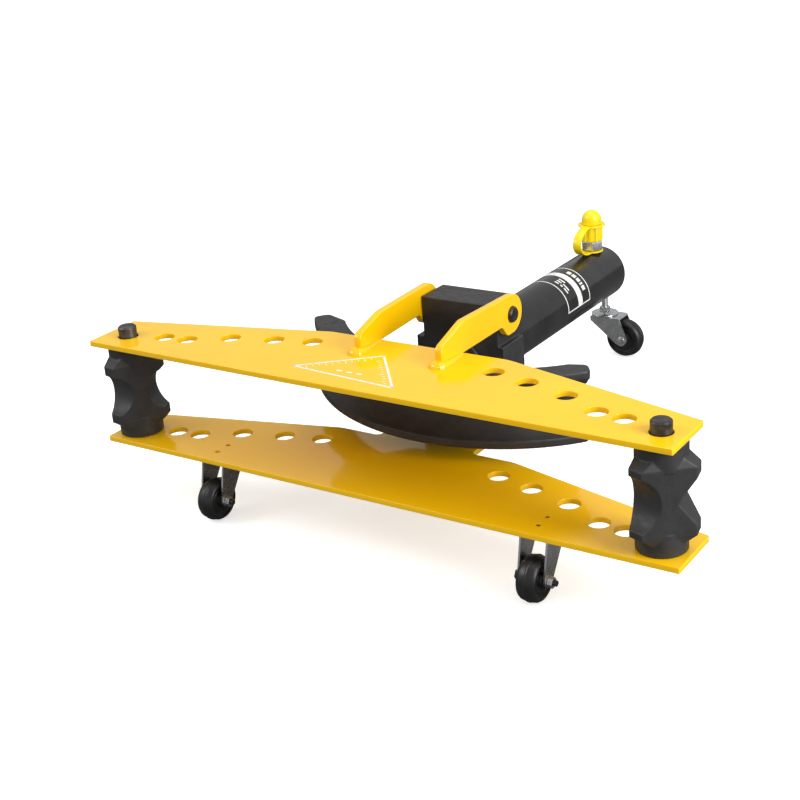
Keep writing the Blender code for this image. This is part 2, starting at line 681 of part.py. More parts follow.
def cut_vee_groove(body, material, parent, place, facing):
    """A vee groove with straight flanks across the nose at the angle facing, from -y."""
    bottom = GROOVE_BOTTOM / MM
    outline = rounded([(bottom, 0, 3), (bottom + 40, 59, 0), (bottom + 40, -59, 0)])
    cut(body, slab(body.name + "_vee", outline, 120 * MM, material, parent, place,
                   (math.pi / 2, 0, facing - math.pi / 2)))


def make_roller(name, x, turn, material, parent, left_radius, rear_radius, right_radius=None):
    """A roller with three grooved noses; with no right_radius that nose gets a vee."""
    place = (x, 0, ROLLER_MID)
    body = roller_body(name, material, parent, place, turn)
    third = math.radians(60)
    cut_round_groove(body, material, parent, place, turn - third, left_radius)
    cut_round_groove(body, material, parent, place, turn + math.pi, rear_radius)
    if right_radius is None:
        cut_vee_groove(body, material, parent, place, turn + third)
    else:
        cut_round_groove(body, material, parent, place, turn + third, right_radius)


def make_roller_pin(name, x, material, parent):
    radius, low, high = ROLLER_PIN_RADIUS / MM, -8 - WING_THICKNESS / MM, UPPER_TOP / MM + 12
    profile = [(0, high), (radius - 1.5, high), (radius, high - 1.5), (radius, low + 1.5),
               (radius - 1.5, low), (0, low)]
    turned(name, profile, material, parent, (x, 0, 0))


# --- Casters ----------------------------------------------------------------------

def wheel_profile(radius, half_width, hub, bore):
    """Tyre with a middle rib and chamfered shoulders, a dished web and a hub."""
    rim = radius - 6
    return [(hub, half_width + 1.5), (hub, half_width - 5), (rim, half_width - 5), (rim, half_width),
            (radius - 2.5, half_width), (radius - 0.8, half_width - 3), (radius - 0.8, 2), (radius, 1),
            (radius, -1), (radius - 0.8, -2), (radius - 0.8, 3 - half_width), (radius - 2.5, -half_width),
            (rim, -half_width), (rim, 5 - half_width), (hub, 5 - half_width), (hub, -half_width - 1.5),
            (bore, -half_width - 1.5), (bore, half_width + 1.5)]


def make_front_caster(side_name, side, zinc, steel, rubber, wheel_parent):
    x = side * CASTER_X
    top, axle_y, axle_z = BRACKET_TOP / MM, FRONT_WHEEL_Y / MM, FRONT_WHEEL_Z / MM
    corners = [(-20, top, 2), (-29.5, axle_z, 5), (axle_y, axle_z - 9.5, 7), (axle_y + 9, axle_z, 5),
               (19, top, 2)]
    name = side_name + "_caster_bracket"
    bracket = slab(name, rounded(corners), 2 * BRACKET_OUTER, zinc, HEAD, (x, 0, 0), SIDE_VIEW)
    height = 70 * MM
    slot = box_mesh(name + "_slot", (2 * BRACKET_INNER, 90 * MM, height))
    cut(bracket, add_part(name + "_slot", slot, zinc, HEAD,
                          (x, 0, BRACKET_TOP - 2 * MM - height / 2)))
    screw_holes = [(2.7 * MM, -5 * MM, 5 * MM, 0, y) for y in CASTER_SCREW_YS]
    cut(bracket, add_part(name + "_screw_holes", rods_mesh(name + "_screw_holes", screw_holes, 12),
                          zinc, HEAD, (x, 0, BRACKET_TOP)))
    axle_hole = rods_mesh(name + "_axle_hole", [(3.3 * MM, -20 * MM, 20 * MM, 0, 0)], 16)
    cut(bracket, add_part(name + "_axle_hole", axle_hole, zinc, HEAD,
                          (x, FRONT_WHEEL_Y, FRONT_WHEEL_Z), TURN_TO_X))
    for place, y in zip(("rear", "front"), CASTER_SCREW_YS):
        seat = BRACKET_TOP - 2 * MM - GAP
        hex_bolt("%s_caster_screw_%s" % (side_name, place), 8 * MM, 3.5 * MM, 2.4 * MM, 7 * MM,
                 steel, HEAD, (x, y, seat))
    outside = BRACKET_OUTER + GAP
    hex_bolt(side_name + "_axle_bolt", 10 * MM, 4 * MM, 2.9 * MM, 2 * outside + 8.5 * MM, steel,
             HEAD, (x - outside, FRONT_WHEEL_Y, FRONT_WHEEL_Z), TURN_TO_X)
    hex_nut(side_name + "_axle_nut", 10 * MM, 5 * MM, 3.2 * MM, zinc, HEAD,
            (x + outside, FRONT_WHEEL_Y, FRONT_WHEEL_Z), TURN_TO_X)
    turned(side_name + "_caster_wheel", wheel_profile(FRONT_WHEEL_RADIUS / MM, 10, 8.5, 3.2),
           rubber, wheel_parent, (x, FRONT_WHEEL_Y, FRONT_WHEEL_Z), TURN_TO_X, bored=True)


def make_rear_caster(zinc, rubber):
    socket_top = RAM_Z / MM - BASE_BOSS_RADIUS / MM + 5
    radius = STEM_RADIUS / MM
    stem = [(0, socket_top), (radius, socket_top), (radius, 1.6), (7, 1.6), (7, -1), (0, -1)]
    turned("rear_caster_stem", stem, zinc, HEAD, (0, STEM_Y, 0), steps=16)
    hex_nut("stem_lock_nut", 12 * MM, 5.6 * MM, 4.3 * MM, zinc, HEAD, (0, STEM_Y, 8.7 * MM))
    race = [(11, 8.4), (17, 6.2), (17, 4.6), (radius + 0.3, 4.6), (radius + 0.3, 8.4)]
    turned("swivel_race", race, zinc, HEAD, (0, STEM_Y, 0), bored=True)

    top = FORK_TOP / MM
    axle_x, axle_z = REAR_TRAIL / MM, REAR_WHEEL_Z / MM
    corners = [(-14.5, top, 2), (-14.5, top - 6, 4), (axle_x - 8, axle_z - 5, 5),
               (axle_x + 1, axle_z - 9.5, 6), (axle_x + 9, axle_z, 6), (25, top, 2)]
    fork = slab("rear_caster_fork", rounded(corners), 2 * FORK_OUTER, zinc, SWIVEL,
                (0, STEM_Y, 0), FRONT_VIEW)
    height = 60 * MM
    slot = box_mesh("fork_slot", (120 * MM, 2 * FORK_INNER, height))
    cut(fork, add_part("fork_slot", slot, zinc, SWIVEL, (0, STEM_Y, FORK_TOP - 2.2 * MM - height / 2)))
    stem_hole = rods_mesh("fork_stem_hole", [(STEM_RADIUS + GAP, -10 * MM, 10 * MM, 0, 0)], 16)
    cut(fork, add_part("fork_stem_hole", stem_hole, zinc, SWIVEL, (0, STEM_Y, FORK_TOP)))
    axle = (REAR_TRAIL, STEM_Y, REAR_WHEEL_Z)
    axle_hole = rods_mesh("fork_axle_hole", [(3.2 * MM, -20 * MM, 20 * MM, 0, 0)], 16)
    cut(fork, add_part("fork_axle_hole", axle_hole, zinc, SWIVEL, axle, TURN_TO_Y))
    outside = FORK_OUTER / MM + 0.3
    rivet = [(0, outside + 2), (4.6, outside + 1), (4.6, outside), (2.9, outside), (2.9, -outside),
             (4.6, -outside), (4.6, -outside - 1), (0, -outside - 2)]
    turned("rear_axle_rivet", rivet, zinc, SWIVEL, axle, TURN_TO_Y, steps=16)
    turned("rear_caster_wheel", wheel_profile(REAR_WHEEL_RADIUS / MM, 9, 8.5, 3.2),
           rubber, REAR_WHEEL, axle, TURN_TO_Y, bored=True)


# --- Coupler, dust cap and tether -------------------------------------------------

def make_coupler(zinc):
    place = (0, PORT_Y, 0)
    bm = bmesh.new()
    corner = 12 * MM / math.cos(math.pi / 6)
    made = bmesh.ops.create_cone(bm, cap_ends=True, segments=6, radius1=corner, radius2=corner,
                                 depth=HEX_TOP - HEX_LOW)
    bmesh.ops.translate(bm, vec=Vector((0, 0, (HEX_TOP + HEX_LOW) / 2)), verts=made["verts"])
    mesh = bpy.data.meshes.new("coupler_nipple")
    bm.to_mesh(mesh)
    bm.free()
    coupler = add_part("coupler_nipple", mesh, zinc, HEAD, place)
    low = (RAM_Z + TUBE_BORE) / MM + 0.6
    thread = PORT_RADIUS / MM - 0.3
    spigot = [(0, 134), (7, 134), (9, 132), (9, 124), (7.5, 122.5), (7.5, 119.5), (9, 118), (9, 105),
              (thread, 105), (thread, low), (0, low)]
    join(coupler, turned("coupler_spigot", spigot, zinc, HEAD, place))


def make_dust_cap(material):
    low, neck_low, neck_top, top = CAP_LOW / MM, NECK_LOW / MM, NECK_TOP / MM, CAP_TOP / MM
    dome = 11.9
    straight = top - dome
    profile = []
    for step in range(7):
        angle = math.pi / 2 * step / 6
        profile.append((dome * math.sin(angle), straight + dome * math.cos(angle)))
    profile += [(dome, neck_top), (10.5, neck_top), (10.5, neck_low), (13.5, neck_low), (13.5, low),
                (9.4, low), (9.4, 136), (0, 136)]
    turned("dust_cap", profile, material, CAP, (0, PORT_Y, 0))


def make_cap_tether(material):
    """An eye under the coupler's hexagon, a band that loops out, and an eye round the cap."""
    place = (0, PORT_Y, 0)
    lower_eye, upper_eye, thickness = 98.4, 131.1, 1.8
    half = thickness / 2
    lower = [(13.5, lower_eye + half), (13.5, lower_eye - half), (7.3, lower_eye - half),
             (7.3, lower_eye + half)]
    tether = turned("cap_tether", lower, material, HEAD, place, bored=True)
    upper = [(16.8, upper_eye + half), (16.8, upper_eye - half), (10.9, upper_eye - half),
             (10.9, upper_eye + half)]
    join(tether, turned("tether_upper_eye", upper, material, HEAD, place, bored=True))

    start, reach = 14, STRAP_REACH / MM
    middle, rise = (lower_eye + upper_eye) / 2, (upper_eye - lower_eye) / 2
    outer, inner = [], []
    for step in range(13):
        angle = -math.pi / 2 + math.pi * step / 12
        out = start + (reach - start) * math.cos(angle)
        height = middle + rise * math.sin(angle)
        outer.append((out + half * math.cos(angle), height + half * math.sin(angle)))
        inner.append((out - half * math.cos(angle), height - half * math.sin(angle)))
    root = 11.8
    outline = [(root, lower_eye - half)] + outer + [(root, upper_eye + half), (root, upper_eye - half)]
    outline += inner[::-1] + [(root, lower_eye + half)]
    towards_the_wings = -math.pi / 2
    join(tether, slab("tether_band", outline, 11 * MM, material, HEAD, place,
                      (math.pi / 2, 0, towards_the_wings)))


# --- Assembly ---------------------------------------------------------------------

def build():
    yellow = finish("wing_yellow_paint", YELLOW, 0.25, 0.0)
    paint = finish("cylinder_black_paint", BLACK, 0.2, 0.0)
    cast = finish("blackened_casting", CAST, 0.55, 0.3)
    steel = finish("blackened_steel", STEEL, 0.4, 0.8)
    chrome = finish("ram_chrome", (0.7, 0.7, 0.72), 0.12, 1.0)
    zinc = finish("zinc_plate", ZINC, 0.3, 0.9)
    rubber = finish("wheel_rubber", RUBBER, 0.6, 0.0)
    seal = finish("seal_rubber", (0.03, 0.03, 0.03), 0.5, 0.0)
    plastic = finish("cap_plastic", CAP_YELLOW, 0.35, 0.0)

    make_lower_wing(yellow)
    make_upper_wing(yellow)
    make_hinge_arm("left_hinge_arm", -1, LEFT_ARM_SKEW, LEFT_ARM_ELBOW, yellow)
    make_hinge_arm("right_hinge_arm", 1, 0, RIGHT_ARM_ELBOW, yellow)
    make_yoke_block(cast)
    make_hinge_pin(steel)
    make_block_bolts(steel)
    make_cylinder(paint, steel, seal)
    make_ram(chrome, steel, seal)
    make_return_spring(steel)
    make_former(cast)
    make_roller("left_roller", -PIN_X, LEFT_ROLLER_TURN, cast, LEFT_ROLLER,
                SMALL_GROOVE_RADIUS, LARGE_GROOVE_RADIUS, SMALL_GROOVE_RADIUS)
    make_roller("right_roller", PIN_X, RIGHT_ROLLER_TURN, cast, RIGHT_ROLLER,
                LARGE_GROOVE_RADIUS, SMALL_GROOVE_RADIUS)
    make_roller_pin("left_roller_pin", -PIN_X, steel, LEFT_PIN)
    make_roller_pin("right_roller_pin", PIN_X, steel, RIGHT_PIN)
    make_front_caster("left", -1, zinc, steel, rubber, LEFT_WHEEL)
    make_front_caster("right", 1, zinc, steel, rubber, RIGHT_WHEEL)
    make_rear_caster(zinc, rubber)
    make_coupler(zinc)
    make_dust_cap(plastic)
    make_cap_tether(plastic)


build()
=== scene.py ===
"""The looks of a split hydraulic pipe bender head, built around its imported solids.

Every new piece is drawn in the head frame, as the solids are: x runs along the wings,
y runs back along the cylinder, z is square to the wings, y = 0 is the line of the roller
pins and z = 0 is the top face of the lower wing.  HEAD carries that frame to the tilted
place where the head stands.  Profiles and outlines are written in millimetres.
"""

import json
import math

import bmesh
import bpy
from mathutils import Matrix, Vector, noise


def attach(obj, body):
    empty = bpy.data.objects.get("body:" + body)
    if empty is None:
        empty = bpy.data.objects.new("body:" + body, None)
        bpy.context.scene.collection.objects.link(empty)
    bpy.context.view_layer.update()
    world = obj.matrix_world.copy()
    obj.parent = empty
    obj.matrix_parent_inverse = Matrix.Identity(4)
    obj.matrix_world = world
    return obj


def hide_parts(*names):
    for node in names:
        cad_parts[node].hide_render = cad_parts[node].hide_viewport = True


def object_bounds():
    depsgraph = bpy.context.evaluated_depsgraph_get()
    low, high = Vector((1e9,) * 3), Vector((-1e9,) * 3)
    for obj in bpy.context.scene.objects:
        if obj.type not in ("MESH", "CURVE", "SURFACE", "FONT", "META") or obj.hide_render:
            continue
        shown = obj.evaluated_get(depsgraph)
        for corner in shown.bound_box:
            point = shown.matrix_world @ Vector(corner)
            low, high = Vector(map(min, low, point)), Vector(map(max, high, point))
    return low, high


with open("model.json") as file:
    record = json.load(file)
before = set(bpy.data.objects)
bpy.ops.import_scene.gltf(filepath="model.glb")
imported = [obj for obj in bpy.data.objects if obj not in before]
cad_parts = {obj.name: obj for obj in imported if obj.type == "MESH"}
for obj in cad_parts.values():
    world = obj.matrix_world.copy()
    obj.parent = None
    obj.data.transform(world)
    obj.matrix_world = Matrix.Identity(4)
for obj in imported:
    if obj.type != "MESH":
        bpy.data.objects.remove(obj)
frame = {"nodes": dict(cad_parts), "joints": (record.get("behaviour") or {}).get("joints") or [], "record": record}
CAD_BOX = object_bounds()

MM = 0.001
GAP = 0.3 * MM
RECORD = frame["record"]
JOINTS = {joint["name"]: joint for joint in frame["joints"]}
BODY_OF = {node: body for body, nodes in RECORD["behaviour"]["bodies"].items() for node in nodes}
SLOT_OF = {part["node"]: part["material_slot"] for part in RECORD["subparts"]}

# Driving dimensions that the outlines below share
WING_THICKNESS = 6 * MM
WING_GAP = 106 * MM
UPPER_TOP = WING_GAP + WING_THICKNESS
HOLE_RADIUS = 11
HOLE_PLACES = [(314, 0), (272.8, 13.3), (243.7, 17.3), (201.4, 39.8), (152.9, 53.6), (109.9, 64.3)]
WING_HALF_LENGTH = 340.7
WING_END_SHIFT = 3.1
WING_FRONT = -30
LEFT_END_REAR = 40
RIGHT_END_REAR = 37
WING_SHOULDER = (108, 98)
NECK_HALF_WIDTH = 58
NECK_REAR = 225.5
PIN_X = 314 * MM
ROLLER_MID = 52.5 * MM
HINGE_Y = 197 * MM
HINGE_Z = 120.2 * MM
ARM_INNER = 48.5 * MM
ARM_THICKNESS = 8 * MM
ARM_BOSS = 21
ARM_TOE = -141
LEFT_ARM_SKEW = math.radians(2.9)
RAM_Z = 64 * MM
TUBE_RADIUS = 32.5
TUBE_FRONT = 190.4
TUBE_REAR = 524.4
BASE_REAR = 540.4
PORT_Y = 497.4 * MM
CASTER_X = 195.2 * MM
CASTER_SCREW_YS = (7.5, -10.7)
FRONT_WHEEL_RADIUS = 23.4
REAR_WHEEL_RADIUS = 24.6
BLOCK_BOLTS = [(-38, 193), (38, 193), (-38, 213), (38, 213)]

# The former's front is an arc about a point behind it, and its groove follows a wider arc
FORMER_RADIUS = 216
FORMER_CENTRE = 278
FORMER_REACH = math.radians(52.7)
FORMER_BACK_RADIUS = 186
FORMER_HEIGHT = 78.4
FORMER_ROLL = math.radians(2.1)
FORMER_Z = 59.5 * MM
GROOVE_PATH = 226
GROOVE_RADIUS = 32

# A roller has three plain sides and three noses, and each groove starts at its core
ROLLER_SIDE = 23.4
ROLLER_NOSE = 33.4
ROLLER_NECK = 20
ROLLER_CORE = 18
ROLLER_SHOULDER = 33
ROLLER_BODY_END = 41.5
ROLLER_COLLAR_RADIUS = 24
ROLLER_BORE_RADIUS = 10.3
LARGE_GROOVE = 30.2
SMALL_GROOVE = 24.2

LABEL_FRONT = 369
LABEL_REAR = 425

# Distances under which points are merged, and the angle from which an edge is sharp
WELD_DISTANCE = 0.01 * MM
LATHE_WELD_DISTANCE = 0.002 * MM
SHARP_ANGLE = math.radians(35)

SENSOR_WIDTH = 36
LENS = 64.53
CAMERA_PLACE = (0.781159, -1.04502, 0.625151)
CAMERA_AZIMUTH = math.radians(35.27)
CAMERA_ELEVATION = math.radians(22.471)
CAMERA_ROLL = math.radians(-4.558)
LIGHT_TARGET = Vector((0, 0, 0.1))


# --- The head frame ---------------------------------------------------------------

def joint_place(name):
    return Vector(JOINTS[name]["pos_m"])


def head_matrix():
    """The head frame's place in the world, from the rollers' joints."""
    across = Vector((1, 0, 0))
    up = Vector(JOINTS["left_roller_spin"]["axis"]).normalized()
    back = up.cross(across)
    middle = (joint_place("left_roller_spin") + joint_place("right_roller_spin")) / 2
    turn = Matrix((across, back, up)).transposed().to_4x4()
    return Matrix.Translation(middle - up * ROLLER_MID) @ turn


HEAD = head_matrix()
TO_HEAD = HEAD.inverted()

Z_TO_X = Matrix.Rotation(math.pi / 2, 4, 'Y')
Z_TO_Y = Matrix.Rotation(-math.pi / 2, 4, 'X')
AXIS_TURN = {"x": Z_TO_X, "y": Z_TO_Y, "z": Matrix()}
# Plates drawn in (x, y) are stood on edge: y becomes z, and x runs back or forward
SIDE_VIEW = Matrix.Rotation(math.pi / 2, 4, 'Z') @ Matrix.Rotation(math.pi / 2, 4, 'X')
FORWARD_VIEW = Matrix.Rotation(-math.pi / 2, 4, 'Z') @ Matrix.Rotation(math.pi / 2, 4, 'X')


def at(x, y, z):
    return Matrix.Translation((x, y, z))


# --- Materials --------------------------------------------------------------------

def add_node(tree, kind, **settings):
    node = tree.nodes.new(kind)
    for key, value in settings.items():
        setattr(node, key, value)
    return node


def noise_value(tree, scale, detail=3.0, stretch=(1, 1, 1)):
    """A noise over the object's own coordinates; scale is in cells per metre."""
    place = add_node(tree, "ShaderNodeTexCoord")
    mapping = add_node(tree, "ShaderNodeMapping")
    mapping.inputs["Scale"].default_value = stretch
    texture = add_node(tree, "ShaderNodeTexNoise")
    texture.inputs["Scale"].default_value = scale
    texture.inputs["Detail"].default_value = detail
    tree.links.new(place.outputs["Object"], mapping.inputs["Vector"])
    tree.links.new(mapping.outputs["Vector"], texture.inputs["Vector"])
    return texture.outputs["Fac"]


def ramp(tree, value, stops):
    node = add_node(tree, "ShaderNodeValToRGB")
    elements = node.color_ramp.elements
    while len(elements) < len(stops):
        elements.new(0.5)
    for element, (position, colour) in zip(elements, stops):
        element.position = position
        element.color = (*colour, 1)
    tree.links.new(value, node.inputs["Fac"])
    return node.outputs["Color"]


def level(tree, value, low, high, to_low, to_high):
    node = add_node(tree, "ShaderNodeMapRange")
    limits = {"From Min": low, "From Max": high, "To Min": to_low, "To Max": to_high}
    for name, number in limits.items():
        node.inputs[name].default_value = number
    tree.links.new(value, node.inputs["Value"])
    return node.outputs["Result"]


def blend_colours(tree, factor, first, second):
    node = add_node(tree, "ShaderNodeMix", data_type='RGBA')
    tree.links.new(factor, node.inputs["Factor"])
    for socket, colour in ((node.inputs[6], first), (node.inputs[7], second)):
        if isinstance(colour, tuple):
            socket.default_value = (*colour, 1)
        else:
            tree.links.new(colour, socket)
    return node.outputs[2]


def edge_mask(tree, radius):
    """About 0 on flat faces and 1 along edges, from a rounded normal against the true one."""
    rounded_normal = add_node(tree, "ShaderNodeBevel", samples=4)
    rounded_normal.inputs["Radius"].default_value = radius
    geometry = add_node(tree, "ShaderNodeNewGeometry")
    dot = add_node(tree, "ShaderNodeVectorMath", operation='DOT_PRODUCT')
    tree.links.new(rounded_normal.outputs["Normal"], dot.inputs[0])
    tree.links.new(geometry.outputs["Normal"], dot.inputs[1])
    return level(tree, dot.outputs["Value"], 0.97, 0.8, 0.0, 1.0)


def bump(tree, shader, heights):
    """Bumps chained on the shader's normal; heights is (value, strength, distance)."""
    normal = None
    for value, strength, distance in heights:
        node = add_node(tree, "ShaderNodeBump")
        node.inputs["Strength"].default_value = strength
        node.inputs["Distance"].default_value = distance
        tree.links.new(value, node.inputs["Height"])
        if normal is not None:
            tree.links.new(normal, node.inputs["Normal"])
        normal = node.outputs["Normal"]
    tree.links.new(normal, shader.inputs["Normal"])


def start_material(name, metallic=0.0, coat=0.0, coat_roughness=0.05):
    material = bpy.data.materials.new(name)
    material.use_nodes = True
    tree = material.node_tree
    shader = tree.nodes["Principled BSDF"]
    shader.inputs["Metallic"].default_value = metallic
    shader.inputs["Coat Weight"].default_value = coat
    shader.inputs["Coat Roughness"].default_value = coat_roughness
    return material, tree, shader


def yellow_enamel():
    """Glossy enamel with orange peel, a slow shift in tone and thin paint on the edges."""
    material, tree, shader = start_material("yellow_enamel", coat=0.2, coat_roughness=0.05)
    tone = ramp(tree, noise_value(tree, 9), [(0.3, (0.97, 0.55, 0.001)), (0.7, (1.0, 0.59, 0.002))])
    edges = level(tree, edge_mask(tree, 1.0 * MM), 0, 1, 0, 0.25)
    colour = blend_colours(tree, edges, tone, (0.78, 0.36, 0.002))
    tree.links.new(colour, shader.inputs["Base Color"])
    spread = level(tree, noise_value(tree, 35), 0.3, 0.7, 0.1, 0.16)
    tree.links.new(spread, shader.inputs["Roughness"])
    bump(tree, shader, [(noise_value(tree, 330, 1), 0.06, 0.08 * MM)])
    return material


def black_enamel():
    material, tree, shader = start_material("black_enamel", coat=0.3, coat_roughness=0.06)
    shader.inputs["Specular IOR Level"].default_value = 0.35
    tone = ramp(tree, noise_value(tree, 25),
                [(0.35, (0.012, 0.012, 0.013)), (0.7, (0.022, 0.021, 0.021))])
    tree.links.new(tone, shader.inputs["Base Color"])
    spread = level(tree, noise_value(tree, 60), 0.3, 0.7, 0.18, 0.32)
    tree.links.new(spread, shader.inputs["Roughness"])
    bump(tree, shader, [(noise_value(tree, 260, 1), 0.1, 0.1 * MM)])
    return material


def cast_black(name, tone, grain):
    """Blackened casting: a fine sandy grain, soft hollows and a trace of brown on the edges."""
    material, tree, shader = start_material(name, metallic=0.15)
    dark = tuple(0.7 * part for part in tone)
    base = ramp(tree, noise_value(tree, 60, 5), [(0.3, dark), (0.7, tone)])
    worn = level(tree, noise_value(tree, 40, 6), 0.55, 0.7, 0, 0.25)
    stained = blend_colours(tree, worn, base, (0.04, 0.034, 0.029))
    edges = level(tree, edge_mask(tree, 1.8 * MM), 0, 1, 0, 0.8)
    colour = blend_colours(tree, edges, stained, (0.15, 0.15, 0.15))
    tree.links.new(colour, shader.inputs["Base Color"])
    spread = level(tree, noise_value(tree, 150, 4), 0.3, 0.7, 0.42, 0.6)
    tree.links.new(spread, shader.inputs["Roughness"])
    bump(tree, shader, [(noise_value(tree, 900, 3), grain, 0.25 * MM),
                        (noise_value(tree, 120, 3), 0.3, 0.5 * MM)])
    return material


def steel(name, dark, light, low_roughness, high_roughness, metallic=1.0, scratches=(1, 1, 1)):
    """Metal whose brush marks run along the axis in which scratches is below 1."""
    material, tree, shader = start_material(name, metallic=metallic)
    tone = ramp(tree, noise_value(tree, 90, 4), [(0.3, dark), (0.7, light)])
    tree.links.new(tone, shader.inputs["Base Color"])
    brushed = noise_value(tree, 700, 2, scratches)
    spread = level(tree, brushed, 0.3, 0.7, low_roughness, high_roughness)
    tree.links.new(spread, shader.inputs["Roughness"])
    bump(tree, shader, [(brushed, 0.12, 0.05 * MM)])
    return material


def moulded(name, dark, light, roughness, coat=0.0, grain=500):
    material, tree, shader = start_material(name, coat=coat, coat_roughness=0.15)
    tone = ramp(tree, noise_value(tree, 70, 3), [(0.3, dark), (0.7, light)])
    tree.links.new(tone, shader.inputs["Base Color"])
    spread = level(tree, noise_value(tree, 120, 3), 0.3, 0.7, roughness - 0.06, roughness + 0.08)
    tree.links.new(spread, shader.inputs["Roughness"])
    bump(tree, shader, [(noise_value(tree, grain, 2), 0.15, 0.1 * MM)])
    return material


def white_ink():
    material, tree, shader = start_material("white_ink")
    worn = ramp(tree, noise_value(tree, 300, 4), [(0.32, (0.62, 0.6, 0.52)), (0.5, (0.86, 0.86, 0.85))])
    tree.links.new(worn, shader.inputs["Base Color"])
    shader.inputs["Roughness"].default_value = 0.45
    return material


MATERIALS = {
    "wing_paint": yellow_enamel(),
    "cylinder_paint": black_enamel(),
    "dark_casting": cast_black("cast_black", (0.036, 0.036, 0.038), 0.35),
    "dark_steel": steel("oiled_steel", (0.02, 0.019, 0.019), (0.11, 0.1, 0.095), 0.28, 0.5,
                        metallic=0.7),
    "ram_chrome": steel("hard_chrome", (0.66, 0.67, 0.69), (0.74, 0.75, 0.76), 0.06, 0.16,
                        scratches=(1, 0.03, 1)),
    "zinc_plate": steel("bright_zinc", (0.56, 0.57, 0.58), (0.74, 0.75, 0.76), 0.2, 0.38),
    "wheel_plastic": moulded("wheel_black", (0.006, 0.006, 0.006), (0.014, 0.014, 0.014), 0.36),
    "seal_rubber": moulded("seal_black", (0.012, 0.012, 0.012), (0.022, 0.022, 0.022), 0.5),
    "cap_plastic": moulded("cap_yellow", (0.93, 0.66, 0.0), (1.0, 0.78, 0.0), 0.34,
                           coat=0.2, grain=250),
}
INK = white_ink()


# --- Mesh helpers -----------------------------------------------------------------

def to_mesh(bm, name):
    bmesh.ops.recalc_face_normals(bm, faces=bm.faces)
    mesh = bpy.data.meshes.new(name)
    bm.to_mesh(mesh)
    bm.free()
    shade(mesh)
    return mesh


def shade(mesh):
    mesh.shade_smooth()
    mesh.set_sharp_from_angle(angle=SHARP_ANGLE)


def skin(bm, rings):
    """Joins each closed ring of vertices to the next."""
    count = len(rings[0])
    for lower, upper in zip(rings, rings[1:]):
        for i in range(count):
            j = (i + 1) % count
            bm.faces.new((lower[i], lower[j], upper[j], upper[i]))


def skin_and_cap(bm, rings):
    skin(bm, rings)
    bm.faces.new(rings[0])
    bm.faces.new(rings[-1])


def arc_corner(here, back, ahead, radius, steps):
    """Points of an arc that rounds the corner at here, whose neighbours lie at back and ahead."""
    to_back, to_ahead = back - here, ahead - here
    half = to_back.angle(to_ahead) / 2
    reach = radius / math.tan(half)
    middle_way = (to_back.normalized() + to_ahead.normalized()).normalized()
    centre = here + middle_way * (radius / math.sin(half))
    start = here + to_back.normalized() * reach - centre
    end = here + to_ahead.normalized() * reach - centre
    sweep = -start.angle_signed(end)
    places = []
    for step in range(steps + 1):
        angle = sweep * step / steps
        places.append(centre + Vector((start.x * math.cos(angle) - start.y * math.sin(angle),
                                       start.x * math.sin(angle) + start.y * math.cos(angle))))
    return places


def rounded(corners, steps=8):
    """A closed outline from (x, y, corner radius)."""
    outline = []
    for i, (x, y, radius) in enumerate(corners):
        here = Vector((x, y))
        if radius == 0:
            outline.append(here)
            continue
        back, ahead = Vector(corners[i - 1][:2]), Vector(corners[(i + 1) % len(corners)][:2])
        outline += arc_corner(here, back, ahead, radius, steps)
    return outline


def circle(x, y, radius, count=64):
    turns = [2 * math.pi * i / count for i in range(count)]
    return [Vector((x + radius * math.cos(t), y + radius * math.sin(t))) for t in turns]


def inset(loop, distance):
    """The anticlockwise loop moved to its left by distance."""
    moved = []
    for i, here in enumerate(loop):
        before = (here - loop[i - 1]).normalized()
        after = (loop[(i + 1) % len(loop)] - here).normalized()
        first, second = Vector((-before.y, before.x)), Vector((-after.y, after.x))
        normal = (first + second).normalized()
        moved.append(here + normal * (distance / max(normal.dot(first), 0.3)))
    return moved


def plate_mesh(name, loops, thickness, edge=0.6):
    """A plate with rounded edges.  The first loop is its outline, the rest are holes.

    The edges of its two flat faces are shaded sharp, so that their reflections stay straight.
    """
    half = thickness / 2
    quarter = [(edge * (1 - math.cos(t)), half - edge * (1 - math.sin(t)))
               for t in (0, math.pi / 6, math.pi / 3, math.pi / 2)]
    levels = [(d, -z) for d, z in reversed(quarter)] + quarter
    bm = bmesh.new()
    rims = {0: [], len(levels) - 1: []}
    for index, loop in enumerate(loops):
        side = 1 if index == 0 else -1
        rings = []
        for depth, height in levels:
            places = inset(loop, side * depth)
            rings.append([bm.verts.new((p.x * MM, p.y * MM, height * MM)) for p in places])
        skin(bm, rings)
        for number, rim in rims.items():
            ring = rings[number]
            rim += [bm.edges.get(pair) for pair in zip(ring, ring[1:] + ring[:1])]
    for rim in rims.values():
        bmesh.ops.triangle_fill(bm, use_beauty=True, edges=rim)
    mesh = to_mesh(bm, name)
    flat = {key for face in mesh.polygons if abs(face.normal.z) > 0.999 for key in face.edge_keys}
    for mesh_edge in mesh.edges:
        if mesh_edge.key in flat:
            mesh_edge.use_edge_sharp = True
    return mesh


def soften(profile, closed, radius):
    """Rounds each sharp corner of a profile by up to radius."""
    points = [Vector(p) for p in profile]
    count = len(points)
    result = []
    for i, here in enumerate(points):
        if not closed and i in (0, count - 1):
            result.append(here)
            continue
        back, ahead = points[i - 1], points[(i + 1) % count]
        turn = math.pi - (back - here).angle(ahead - here)
        reach = 0.4 * min((back - here).length, (ahead - here).length)
        if turn < math.radians(28):
            result.append(here)
        else:
            result += arc_corner(here, back, ahead, min(radius, reach / math.tan(turn / 2)), 3)
    return result


